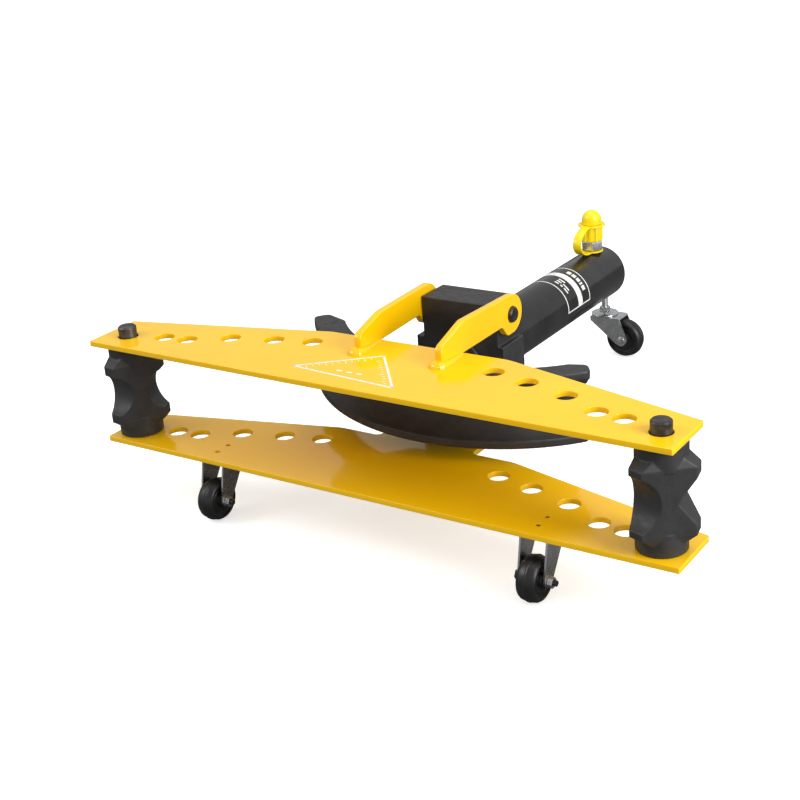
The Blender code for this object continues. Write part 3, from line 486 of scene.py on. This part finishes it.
def lathe_mesh(name, profile, closed=False, steps=96, edge=0.4):
    """A turned solid about z from (radius, height) pairs in millimetres."""
    bm = bmesh.new()
    verts = [bm.verts.new((p.x * MM, 0, p.y * MM)) for p in soften(profile, closed, edge)]
    edges = [bm.edges.new(pair) for pair in zip(verts, verts[1:])]
    if closed:
        edges.append(bm.edges.new((verts[-1], verts[0])))
    bmesh.ops.spin(bm, geom=verts + edges, axis=(0, 0, 1), cent=(0, 0, 0), steps=steps,
                   angle=2 * math.pi, use_duplicate=False)
    bmesh.ops.remove_doubles(bm, verts=bm.verts, dist=LATHE_WELD_DISTANCE)
    return to_mesh(bm, name)


def cad_profile(node, axis):
    """Reads a turned solid's profile off its mesh: the pairs, whether they close, its middle."""
    data = frame["nodes"][node].data
    places = [TO_HEAD @ vertex.co for vertex in data.vertices]
    along = "xyz".index(axis)
    middle = Vector([(min(p[k] for p in places) + max(p[k] for p in places)) / 2 for k in range(3)])
    corners, which = [], []
    for place in places:
        offset = place - middle
        height = offset[along] / MM
        offset[along] = 0
        pair = Vector((offset.length / MM, height))
        match = next((i for i, known in enumerate(corners) if (known - pair).length < 0.05), None)
        if match is None:
            match = len(corners)
            corners.append(pair)
        which.append(match)
    links = {i: set() for i in range(len(corners))}
    for edge in data.edges:
        a, b = (which[v] for v in edge.vertices)
        if a != b:
            links[a].add(b)
            links[b].add(a)
    ends = [i for i in links if len(links[i]) == 1]
    walk = [ends[0] if ends else 0]
    while True:
        onward = [i for i in links[walk[-1]] if i not in walk]
        if not onward:
            break
        walk.append(onward[0])
    pairs = [corners[i] for i in walk]
    if ends:
        pairs = [Vector((0, pairs[0].y))] * (pairs[0].x > 0.1) + pairs
        pairs += [Vector((0, pairs[-1].y))] * (pairs[-1].x > 0.1)
    return pairs, not ends, middle


def boolean(obj, tool, operation):
    """Applies a Boolean with tool, which is then removed."""
    modifier = obj.modifiers.new("cut", 'BOOLEAN')
    modifier.operation = operation
    modifier.solver = 'EXACT'
    modifier.object = tool
    bake(obj)
    bpy.data.objects.remove(tool, do_unlink=True)


def bake(obj):
    bpy.context.view_layer.update()
    evaluated = obj.evaluated_get(bpy.context.evaluated_depsgraph_get())
    mesh = bpy.data.meshes.new_from_object(evaluated)
    obj.modifiers.clear()
    obj.data = mesh


def loose(name, mesh, matrix=Matrix()):
    """An object in the head frame that isn't a piece yet."""
    obj = bpy.data.objects.new(name, mesh)
    bpy.context.scene.collection.objects.link(obj)
    obj.matrix_world = matrix
    return obj


def as_casting(obj, voxel, rounds):
    """Gives a solid the soft edges and small unevenness of a casting."""
    remesh = obj.modifiers.new("skin", 'REMESH')
    remesh.mode = 'VOXEL'
    remesh.voxel_size = voxel
    smooth = obj.modifiers.new("soften", 'SMOOTH')
    smooth.factor = 0.5
    smooth.iterations = rounds
    bake(obj)
    obj.data.shade_smooth()


def settle(obj, node, material=None, replaced=None):
    """Puts an object drawn in the head frame on the body of a CAD node, which it replaces."""
    obj.data.transform(HEAD @ obj.matrix_world)
    obj.data.materials.clear()
    obj.data.materials.append(material or MATERIALS[SLOT_OF[node]])
    obj.matrix_world = Matrix()
    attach(obj, BODY_OF[node])
    if replaced is not None:
        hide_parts(*replaced)
    return obj


def new_piece(node, mesh, matrix=Matrix()):
    return settle(loose(node + "_fine", mesh, matrix), node, replaced=[node])


def turned_piece(node, axis, edge=0.4):
    """The CAD node's own profile, turned again with a smooth round surface."""
    profile, closed, middle = cad_profile(node, axis)
    mesh = lathe_mesh(node, profile, closed, edge=edge)
    return new_piece(node, mesh, Matrix.Translation(middle) @ AXIS_TURN[axis])


def rod(radius, low, high, matrix):
    """A round bar for a Boolean, along the matrix's z from low to high."""
    mesh = plate_mesh("rod", [circle(0, 0, radius)], high - low, edge=0.01)
    return loose("rod", mesh, matrix @ at(0, 0, (low + high) / 2 * MM))


# --- Wings, arms and welds --------------------------------------------------------

def wing_outline(with_neck):
    """Both wings are one blank, turned over for the upper one, so their ends shift apart."""
    shift = WING_END_SHIFT if with_neck else -WING_END_SHIFT
    left, right = shift - WING_HALF_LENGTH, shift + WING_HALF_LENGTH
    shoulder_x, shoulder_y = WING_SHOULDER
    corners = [(left, WING_FRONT, 1.5), (right, WING_FRONT, 1.5), (right, RIGHT_END_REAR, 2),
               (shoulder_x, shoulder_y, 40)]
    if with_neck:
        corners += [(NECK_HALF_WIDTH, shoulder_y, 6), (NECK_HALF_WIDTH, NECK_REAR, 4),
                    (-NECK_HALF_WIDTH, NECK_REAR, 4), (-NECK_HALF_WIDTH, shoulder_y, 6)]
    corners += [(-shoulder_x, shoulder_y, 40), (left, LEFT_END_REAR, 2)]
    return rounded(corners)


def make_wings():
    holes = [circle(side * x, y, HOLE_RADIUS) for x, y in HOLE_PLACES for side in (-1, 1)]
    thickness = WING_THICKNESS / MM
    upper = plate_mesh("upper", [wing_outline(False)] + holes, thickness)
    new_piece("upper_wing_plate", upper, at(0, 0, UPPER_TOP - WING_THICKNESS / 2))
    small = [circle(side * CASTER_X / MM, y, 2.7, 24) for side in (-1, 1) for y in CASTER_SCREW_YS]
    small += [circle(x, y, 5.3, 32) for x, y in BLOCK_BOLTS]
    lower = plate_mesh("lower", [wing_outline(True)] + holes + small, thickness)
    new_piece("lower_wing_plate", lower, at(0, 0, -WING_THICKNESS / 2))


def arm_outline(elbow):
    """(y, z) from the hinge; elbow is the height of the bend in the arm's top."""
    foot = (UPPER_TOP + GAP - HINGE_Z) / MM
    return rounded([(ARM_TOE, foot, 0), (-99, foot, 0), (-21, foot, 7), (-11, -ARM_BOSS, 8),
                    (ARM_BOSS, -ARM_BOSS, ARM_BOSS - 0.1), (ARM_BOSS, ARM_BOSS, ARM_BOSS - 0.1),
                    (-96, elbow, 20), (ARM_TOE, 10.8, 8)], steps=14)


def arm_matrix(side, skew):
    place = at(side * (ARM_INNER + ARM_THICKNESS / 2), HINGE_Y, HINGE_Z)
    return place @ Matrix.Rotation(skew, 4, 'Z') @ SIDE_VIEW


def weld_bead(name, matrix, radius, seed):
    """A bead round the front of an arm's foot.  Its path is (y, x) from the foot's middle."""
    path = [(-104, 3.5), (-112, 4), (-122, 4.5), (-132, 4.5), (-139, 4), (-143, 2), (-144.5, 0)]
    path += [(y, -x) for y, x in reversed(path[:-1])]
    foot = (UPPER_TOP - HINGE_Z) / MM
    steps, sides = 8, 16
    fine = []
    for (y0, x0), (y1, x1) in zip(path, path[1:]):
        fine += [(y0 + (y1 - y0) * i / steps, x0 + (x1 - x0) * i / steps) for i in range(steps)]
    fine.append(path[-1])
    bm = bmesh.new()
    rings = []
    for i, (y, x) in enumerate(fine):
        ahead = Vector(fine[min(i + 1, len(fine) - 1)]) - Vector(fine[max(i - 1, 0)])
        side = Vector((-ahead.y, ahead.x)).normalized()
        share = math.sin(math.pi * (0.02 + 0.96 * i / (len(fine) - 1)))
        ripple = 1 + 0.04 * math.sin(i * 1.9) + 0.2 * noise.noise(Vector((y * 0.1, x * 0.1, seed)))
        size = radius * ripple * (0.4 + 0.7 * share ** 3)
        ring = []
        for step in range(sides):
            turn = 2 * math.pi * step / sides
            out, rise = size * 1.4 * math.cos(turn), size * 1.15 * math.sin(turn)
            place = (y + side.x * out, foot + rise, x + side.y * out)
            ring.append(bm.verts.new([part * MM for part in place]))
        rings.append(ring)
    skin_and_cap(bm, rings)
    bead = loose(name, to_mesh(bm, name), matrix)
    bead.data.shade_smooth()
    settle(bead, "upper_wing_plate")


def make_arms():
    for name, side, skew, elbow in (("left", -1, LEFT_ARM_SKEW, 21.6), ("right", 1, 0, 24.8)):
        matrix = arm_matrix(side, skew)
        loops = [arm_outline(elbow), circle(0, 0, 8.8)]
        mesh = plate_mesh(name + "_arm", loops, ARM_THICKNESS / MM, edge=0.8)
        new_piece(name + "_hinge_arm", mesh, matrix)
        weld_bead(name + "_arm_weld", matrix, 5.2, side * 3.7)


# --- Printed marks ----------------------------------------------------------------

def strip_on_plate(bm, start, end, width, z, height):
    """A thin closed bar from start to end on the plate."""
    a, b = Vector(start), Vector(end)
    side = Vector((a.y - b.y, b.x - a.x)).normalized() * width / 2
    corners = [a - side, b - side, b + side, a + side]
    low = [bm.verts.new((p.x * MM, p.y * MM, z * MM)) for p in corners]
    high = [bm.verts.new((p.x * MM, p.y * MM, (z + height) * MM)) for p in corners]
    bm.faces.new(low[::-1])
    bm.faces.new(high)
    skin(bm, [low, high])


def make_angle_scale():
    """A printed triangle with plain tick marks, on the upper wing."""
    top = UPPER_TOP / MM
    corners = [Vector((-85.7, -0.5)), Vector((40.9, -9.7)), Vector((-14.5, 58.2))]
    middle = sum(corners, Vector((0, 0))) / 3
    bm = bmesh.new()
    for i, start in enumerate(corners):
        end = corners[(i + 1) % 3]
        along = (end - start).normalized()
        strip_on_plate(bm, start - along * 1.2, end + along * 1.2, 2.4, top, 0.05)
        inward = Vector((-along.y, along.x))
        length = (end - start).length
        count = 13 if i else 1
        for tick in range(2, count):
            foot = start + along * (length * tick / (count + 1)) + inward * 4
            strip_on_plate(bm, foot, foot + inward * (5 if tick % 3 == 0 else 3), 0.9, top, 0.05)
    for offset in (-12, 0, 12):
        spot = middle + Vector((offset - 2, -9))
        strip_on_plate(bm, spot - Vector((3, 0)), spot + Vector((3, 0)), 2.6, top, 0.05)
    settle(loose("angle_scale", to_mesh(bm, "angle_scale")), "upper_wing_plate", INK)


def patch_on_tube(bm, y_low, y_high, from_top, to_top):
    """A thin closed patch wrapped on the tube; angles run from the top towards +x, in degrees."""
    inner, outer = (TUBE_RADIUS - 0.05) * MM, (TUBE_RADIUS + 0.06) * MM
    steps = max(2, round((to_top - from_top) / 3))
    rings = []
    for i in range(steps + 1):
        turn = math.radians(from_top + (to_top - from_top) * i / steps)
        ring = []
        for radius, y in ((inner, y_low), (outer, y_low), (outer, y_high), (inner, y_high)):
            place = (radius * math.sin(turn), y * MM, RAM_Z + radius * math.cos(turn))
            ring.append(bm.verts.new(place))
        rings.append(ring)
    skin_and_cap(bm, rings)


def make_tube_label():
    """A printed frame with one solid band and rows of plain dashes."""
    first, last = -50, 96
    line = 1.6
    line_turn = math.degrees(line / TUBE_RADIUS)
    bm = bmesh.new()
    for y in (LABEL_FRONT, LABEL_REAR - line):
        patch_on_tube(bm, y, y + line, first, last)
    for turn in (first, last - line_turn):
        patch_on_tube(bm, LABEL_FRONT + line, LABEL_REAR - line, turn, turn + line_turn)
    patch_on_tube(bm, 395, 405.6, first + line_turn, last - line_turn)
    dash_rows = ((411, 6.5, ((14, 24), (27, 36), (39, 48), (51, 55), (58, 68))),
                 (388, 2.4, ((18, 34),)),
                 (383, 2.4, ((18, 30), (34, 52))),
                 (378, 2.4, ((18, 28), (32, 38), (42, 56))))
    for y, height, dashes in dash_rows:
        for start, stop in dashes:
            patch_on_tube(bm, y, y + height, start, stop)
    settle(loose("cylinder_label", to_mesh(bm, "cylinder_label")), "cylinder_tube", INK)


# --- Castings ---------------------------------------------------------------------

def former_arc(radius, start, end, count, shift=0):
    """Points of an arc about the former's centre; angles run from the front towards +x."""
    turns = [start + (end - start) * i / (count - 1) for i in range(count)]
    return [Vector((shift + radius * math.sin(t), FORMER_CENTRE - radius * math.cos(t))) for t in turns]


def former_outline():
    near_end, near_hub = math.radians(48), math.radians(19)
    lip = FORMER_REACH - math.radians(2.6)
    back_shift, tip_radius = 5, 7
    corner = former_arc(FORMER_RADIUS, FORMER_REACH, 0, 2)[0]
    tip = former_arc(199, FORMER_REACH + math.radians(1.5), 0, 2)[0]
    right_back = former_arc(FORMER_BACK_RADIUS, near_end, near_hub, 20, back_shift)
    left_back = former_arc(FORMER_BACK_RADIUS, -near_hub, -near_end, 20, back_shift)
    outline = [(-corner.x, corner.y, tip_radius)]
    outline += [(*p, 0) for p in former_arc(FORMER_RADIUS, -lip, lip, 68)]
    outline += [(*corner, tip_radius), (*tip, tip_radius)] + [(*p, 0) for p in right_back]
    outline += [(30, 126, 0), (-30, 126, 0)] + [(*p, 0) for p in left_back]
    return rounded(outline + [(-tip.x, tip.y, tip_radius)])


def former_groove():
    """The round bar that cuts the pipe groove, bent along its path."""
    steps, sides = 64, 48
    bm = bmesh.new()
    rings = []
    for i in range(steps + 1):
        turn = -FORMER_REACH * 1.1 + 2.2 * FORMER_REACH * i / steps
        ring = []
        for step in range(sides):
            round_turn = 2 * math.pi * step / sides
            radius = GROOVE_PATH + GROOVE_RADIUS * math.cos(round_turn)
            place = Vector((radius * math.sin(turn), FORMER_CENTRE - radius * math.cos(turn),
                            GROOVE_RADIUS * math.sin(round_turn)))
            ring.append(bm.verts.new(place * MM))
        rings.append(ring)
    skin_and_cap(bm, rings)
    return to_mesh(bm, "groove")


def make_former():
    """Crescent with a rib, a boss and a round pipe groove, rolled a little on the ram nose."""
    roll = at(0, 0, RAM_Z) @ Matrix.Rotation(FORMER_ROLL, 4, 'Y')
    sunk = roll @ at(0, 0, FORMER_Z - RAM_Z)
    blank = plate_mesh("former", [former_outline()], FORMER_HEIGHT, edge=1.5)
    body = loose("bending_former_fine", blank, sunk)
    rib = rounded([(-88, 116, 0), (88, 116, 0), (30, 149, 8), (-30, 149, 8)])
    boolean(body, loose("rib", plate_mesh("rib", [rib], 16), roll), 'UNION')
    boolean(body, rod(26, 112, 150, roll @ Z_TO_Y), 'UNION')
    boolean(body, loose("groove", former_groove(), sunk), 'DIFFERENCE')
    boolean(body, rod(15, 130, 155, roll @ Z_TO_Y), 'DIFFERENCE')
    as_casting(body, 1.0 * MM, 3)
    settle(body, "bending_former", replaced=["bending_former"])


def roller_blank():
    """Three broad plain sides and three narrow noses, with sloping shoulders at both ends."""
    neck, full = (ROLLER_NECK, ROLLER_NECK + 2), (ROLLER_SIDE, ROLLER_NOSE)
    levels = [(*neck, -ROLLER_BODY_END), (*full, -ROLLER_SHOULDER),
              (*full, ROLLER_SHOULDER), (*neck, ROLLER_BODY_END)]
    bm = bmesh.new()
    rings = []
    for side, nose, height in levels:
        ring = []
        for turn in (0, 120, 240):
            for along in (-(nose - side / 2), nose - side / 2):
                place = Vector((along / math.sin(math.radians(60)), -side, height))
                place.rotate(Matrix.Rotation(math.radians(turn), 3, 'Z'))
                ring.append(bm.verts.new(place * MM))
        rings.append(ring)
    skin_and_cap(bm, rings)
    return to_mesh(bm, "roller")


def make_roller(node, x, turn, grooves):
    """grooves maps a nose's angle from the front plain side, in degrees, to its groove radius;
    a radius of None is a vee."""
    place = at(x, 0, ROLLER_MID)
    body = loose(node + "_fine", roller_blank(), place @ Matrix.Rotation(math.radians(turn), 4, 'Z'))
    for nose, radius in grooves.items():
        facing = place @ Matrix.Rotation(math.radians(turn + nose), 4, 'Z')
        if radius is None:
            vee = rounded([(ROLLER_CORE, 0, 3), (58, -59, 0), (58, 59, 0)])
            tool = loose("vee", plate_mesh("vee", [vee], 120, edge=0.01), facing @ FORWARD_VIEW)
        else:
            tool = rod(radius, -60, 60, facing @ at(0, -(ROLLER_CORE + radius) * MM, 0) @ Z_TO_X)
        boolean(body, tool, 'DIFFERENCE')
    for low, high in ((-52.2, -30), (30, 53.2)):
        boolean(body, rod(ROLLER_COLLAR_RADIUS, low, high, place), 'UNION')
    boolean(body, rod(ROLLER_BORE_RADIUS, -60, 60, place), 'DIFFERENCE')
    as_casting(body, 0.7 * MM, 2)
    settle(body, node, replaced=[node])


def make_castings():
    make_former()
    make_roller("left_roller", -PIN_X, 54, {-60: SMALL_GROOVE, 60: SMALL_GROOVE, 180: LARGE_GROOVE})
    make_roller("right_roller", PIN_X, 41, {-60: LARGE_GROOVE, 60: None, 180: SMALL_GROOVE})
    block = loose("yoke_block_fine", frame["nodes"]["yoke_block"].data.copy(), TO_HEAD)
    weld = block.modifiers.new("weld", 'WELD')
    weld.merge_threshold = WELD_DISTANCE
    bake(block)
    as_casting(block, 0.8 * MM, 2)
    settle(block, "yoke_block", replaced=["yoke_block"])


# --- Cylinder, coupler and cap ----------------------------------------------------

def make_cylinder():
    axis = at(0, 0, RAM_Z) @ Z_TO_Y
    tube = [(TUBE_RADIUS - 2.5, TUBE_REAR), (TUBE_RADIUS, TUBE_REAR - 2.5), (TUBE_RADIUS, TUBE_FRONT),
            (25, TUBE_FRONT), (25, TUBE_REAR)]
    new_piece("cylinder_tube", lathe_mesh("tube", tube, True, 160, 1.2), axis)
    base = [(0, BASE_REAR), (20, BASE_REAR), (20, TUBE_REAR), (24.7, TUBE_REAR), (24.7, 505), (0, 505)]
    new_piece("cylinder_base", lathe_mesh("base", base, False, 96, 1.5), axis)


def make_coupler():
    place = at(0, PORT_Y, 0)
    across = 12 / math.cos(math.pi / 6)
    hexagon = [Vector((across * math.cos(t), across * math.sin(t)))
               for t in (math.pi / 3 * i for i in range(6))]
    nut = plate_mesh("hexagon", [hexagon], 11, edge=0.7)
    body = loose("coupler_nipple_fine", nut, place @ at(0, 0, 106.1 * MM))
    spigot = [(0, 134), (7, 134), (9, 132), (9, 124), (7.5, 122.5), (7.5, 119.5), (9, 118), (9, 105),
              (6.7, 105), (6.7, 89.1), (0, 89.1)]
    boolean(body, loose("spigot", lathe_mesh("spigot", spigot), place), 'UNION')
    shade(body.data)
    settle(body, "coupler_nipple", replaced=["coupler_nipple"])


def make_dust_cap():
    """Domed cap over a skirt with upright ribs."""
    turns = [math.pi / 32 * i for i in range(17)]
    dome = [(11.9 * math.sin(t), 137.6 + 11.9 * math.cos(t)) for t in turns]
    skirt = [(11.9, 132.4), (10.5, 132.4), (10.5, 129.8), (13.5, 129.8), (13.5, 112), (9.4, 112)]
    profile = dome + skirt + [(9.4, 136), (0, 136)]
    mesh = lathe_mesh("cap", profile, False, 180, 0.5)
    for vertex in mesh.vertices:
        radius = vertex.co.xy.length / MM
        if radius > 12.2 and vertex.co.z < 131 * MM:
            turn = math.atan2(vertex.co.y, vertex.co.x)
            rib = min(1, max(0, 0.5 + 1.6 * math.cos(10 * turn)))
            scale = 1 - 0.085 * (1 - rib)
            vertex.co.x *= scale
            vertex.co.y *= scale
    new_piece("dust_cap", mesh, at(0, PORT_Y, 0))


def make_tether():
    """Two eyes joined by a band that loops out towards the wings."""
    place = at(0, PORT_Y, 0)
    low, high, half = 98.4, 131.1, 0.9
    lower = [(13.5, low + half), (13.5, low - half), (7.3, low - half), (7.3, low + half)]
    body = loose("cap_tether_fine", lathe_mesh("eye", lower, True), place)
    upper = [(16.8, high + half), (16.8, high - half), (10.9, high - half), (10.9, high + half)]
    boolean(body, loose("upper_eye", lathe_mesh("upper", upper, True), place), 'UNION')
    # The band is a half ellipse, closed by two short tangs that end inside the eyes
    tang, start, reach = 11.8, 14, 40
    middle, rise = (low + high) / 2, (high - low) / 2
    outer, inner = [], []
    for step in range(41):
        turn = -math.pi / 2 + math.pi * step / 40
        centre = Vector((start + (reach - start) * math.cos(turn), middle + rise * math.sin(turn)))
        side = Vector((math.cos(turn), math.sin(turn))) * half
        outer.append(centre + side)
        inner.append(centre - side)
    outline = [Vector((tang, low - half))] + outer
    outline += [Vector((tang, high + half)), Vector((tang, high - half))]
    outline += inner[::-1] + [Vector((tang, low + half))]
    band = plate_mesh("band", [outline], 11, edge=0.35)
    boolean(body, loose("band", band, place @ FORWARD_VIEW), 'UNION')
    shade(body.data)
    settle(body, "cap_tether", replaced=["cap_tether"])


# --- Wheels -----------------------------------------------------------------------

def wheel_mesh(name, radius, half_width, hub, bore):
    """Moulded wheel: crowned tread with a seam ridge, stepped sides and a raised hub."""
    rim = radius - 6
    tread = [(radius, 0.6), (radius - 0.5, 1.0), (radius - 0.7, 3), (radius - 1.4, half_width - 3.2),
             (radius - 3, half_width - 0.8), (radius - 4.2, half_width)]
    web = [(rim, half_width), (rim - 0.8, half_width - 2.6), (rim - 4.4, half_width - 3.2),
           (rim - 5, half_width - 2.4), (rim - 5.8, half_width - 2.4), (rim - 6.2, half_width - 3.6)]
    boss = [(hub, half_width - 3.6), (hub - 0.6, half_width + 1.5), (bore, half_width + 1.5)]
    one_side = tread + web + boss
    other = [(r, -h) for r, h in reversed(one_side)]
    return lathe_mesh(name, one_side + other, True, 128, 0.35)


def make_wheels():
    wheels = (("left_caster_wheel", "left_wheel_spin", "x", FRONT_WHEEL_RADIUS, 10),
              ("right_caster_wheel", "right_wheel_spin", "x", FRONT_WHEEL_RADIUS, 10),
              ("rear_caster_wheel", "rear_wheel_spin", "y", REAR_WHEEL_RADIUS, 9))
    for node, joint, axis, radius, half_width in wheels:
        centre = TO_HEAD @ joint_place(joint)
        mesh = wheel_mesh(node, radius, half_width, 7.6, 3.2)
        new_piece(node, mesh, Matrix.Translation(centre) @ AXIS_TURN[axis])


# --- Carried-over nodes -----------------------------------------------------------

TURNED = {
    "hinge_pin": "x", "left_roller_pin": "z", "right_roller_pin": "z", "ram_rod": "y",
    "ram_nose": "y", "piston_head": "y", "piston_seal": "y", "piston_circlip": "y",
    "gland_bush": "y", "wiper_ring": "y", "rear_caster_stem": "z", "swivel_race": "z",
    "rear_axle_rivet": "y",
}


def carry_over():
    """The CAD nodes whose shape is right get their finish and a small round on their edges."""
    for name, obj in frame["nodes"].items():
        if obj.hide_render:
            continue
        obj.data.materials.clear()
        obj.data.materials.append(MATERIALS[SLOT_OF[name]])
        weld = obj.modifiers.new("weld", 'WELD')
        weld.merge_threshold = WELD_DISTANCE
        edges = obj.modifiers.new("edges", 'BEVEL')
        edges.width = 0.4 * MM
        edges.segments = 2
        edges.angle_limit = SHARP_ANGLE
        edges.harden_normals = False
        obj.data.shade_smooth()
        normals = obj.modifiers.new("sharp", 'WEIGHTED_NORMAL')
        normals.keep_sharp = False


# --- Stage ------------------------------------------------------------------------

def make_floor():
    """A pale floor, bright to the camera but dark to the piece, so it doesn't wash out the paint."""
    bm = bmesh.new()
    bmesh.ops.create_grid(bm, x_segments=4, y_segments=4, size=6)
    mesh = bpy.data.meshes.new("floor")
    bm.to_mesh(mesh)
    bm.free()
    floor = bpy.data.objects.new("floor", mesh)
    bpy.context.scene.collection.objects.link(floor)
    floor.location.z = CAD_BOX[0].z - 0.1 * MM
    material, tree, shader = start_material("pale_floor")
    path = add_node(tree, "ShaderNodeLightPath").outputs
    seen = path["Is Camera Ray"]
    tone = ramp(tree, noise_value(tree, 3), [(0.3, (0.90, 0.90, 0.90)), (0.7, (0.93, 0.93, 0.93))])
    returned = blend_colours(tree, path["Is Glossy Ray"], (0.4, 0.4, 0.4), (0.12, 0.12, 0.12))
    tree.links.new(blend_colours(tree, seen, returned, tone), shader.inputs["Base Color"])
    shader.inputs["Roughness"].default_value = 0.6
    shader.inputs["Emission Color"].default_value = (1, 1, 1, 1)
    tree.links.new(level(tree, seen, 0, 1, 0, 0.55), shader.inputs["Emission Strength"])
    mesh.materials.append(material)


def add_softbox(name, place, size, power):
    light = bpy.data.lights.new(name, 'AREA')
    light.shape = 'RECTANGLE'
    light.size, light.size_y = size
    light.energy = power
    obj = bpy.data.objects.new(name, light)
    bpy.context.scene.collection.objects.link(obj)
    obj.location = place
    obj.rotation_euler = (LIGHT_TARGET - Vector(place)).to_track_quat("-Z", "Y").to_euler()


def make_lights():
    """Three soft lights, and a world that is whiter to the camera than to the piece."""
    world = bpy.data.worlds.new("studio")
    world.use_nodes = True
    background = world.node_tree.nodes["Background"]
    background.inputs["Color"].default_value = (1, 1, 1, 1)
    seen = add_node(world.node_tree, "ShaderNodeLightPath").outputs["Is Camera Ray"]
    strength = level(world.node_tree, seen, 0, 1, 0.54, 1.0)
    world.node_tree.links.new(strength, background.inputs["Strength"])
    bpy.context.scene.world = world
    add_softbox("overhead", (0.1, 0.2, 1.6), (1.8, 1.2), 10)
    add_softbox("key", (-1.3, -1.0, 1.2), (0.9, 0.9), 10)
    add_softbox("fill", (1.55, -0.25, 0.75), (0.8, 1.0), 23)


def make_camera():
    """The camera looks from the front right, a little above, and is rolled by a few degrees."""
    level_part = math.cos(CAMERA_ELEVATION)
    back = Vector((math.sin(CAMERA_AZIMUTH) * level_part, -math.cos(CAMERA_AZIMUTH) * level_part,
                   math.sin(CAMERA_ELEVATION)))
    right = Vector((math.cos(CAMERA_AZIMUTH), math.sin(CAMERA_AZIMUTH), 0))
    up = back.cross(right)
    rolled_right = right * math.cos(CAMERA_ROLL) + up * math.sin(CAMERA_ROLL)
    rolled_up = up * math.cos(CAMERA_ROLL) - right * math.sin(CAMERA_ROLL)
    turn = Matrix((rolled_right, rolled_up, back)).transposed().to_4x4()
    data = bpy.data.cameras.new("camera")
    data.sensor_width = SENSOR_WIDTH
    data.lens = LENS
    camera = bpy.data.objects.new("camera", data)
    bpy.context.scene.collection.objects.link(camera)
    camera.matrix_world = HEAD @ at(*CAMERA_PLACE) @ turn
    bpy.context.scene.camera = camera
    bpy.context.scene.view_settings.view_transform = 'Standard'


# --- Assembly ---------------------------------------------------------------------

make_wings()
make_arms()
make_angle_scale()
make_castings()
make_cylinder()
make_tube_label()
make_coupler()
make_dust_cap()
make_tether()
make_wheels()
for turned_node, turned_axis in TURNED.items():
    turned_piece(turned_node, turned_axis)
carry_over()
make_floor()
make_lights()
make_camera()
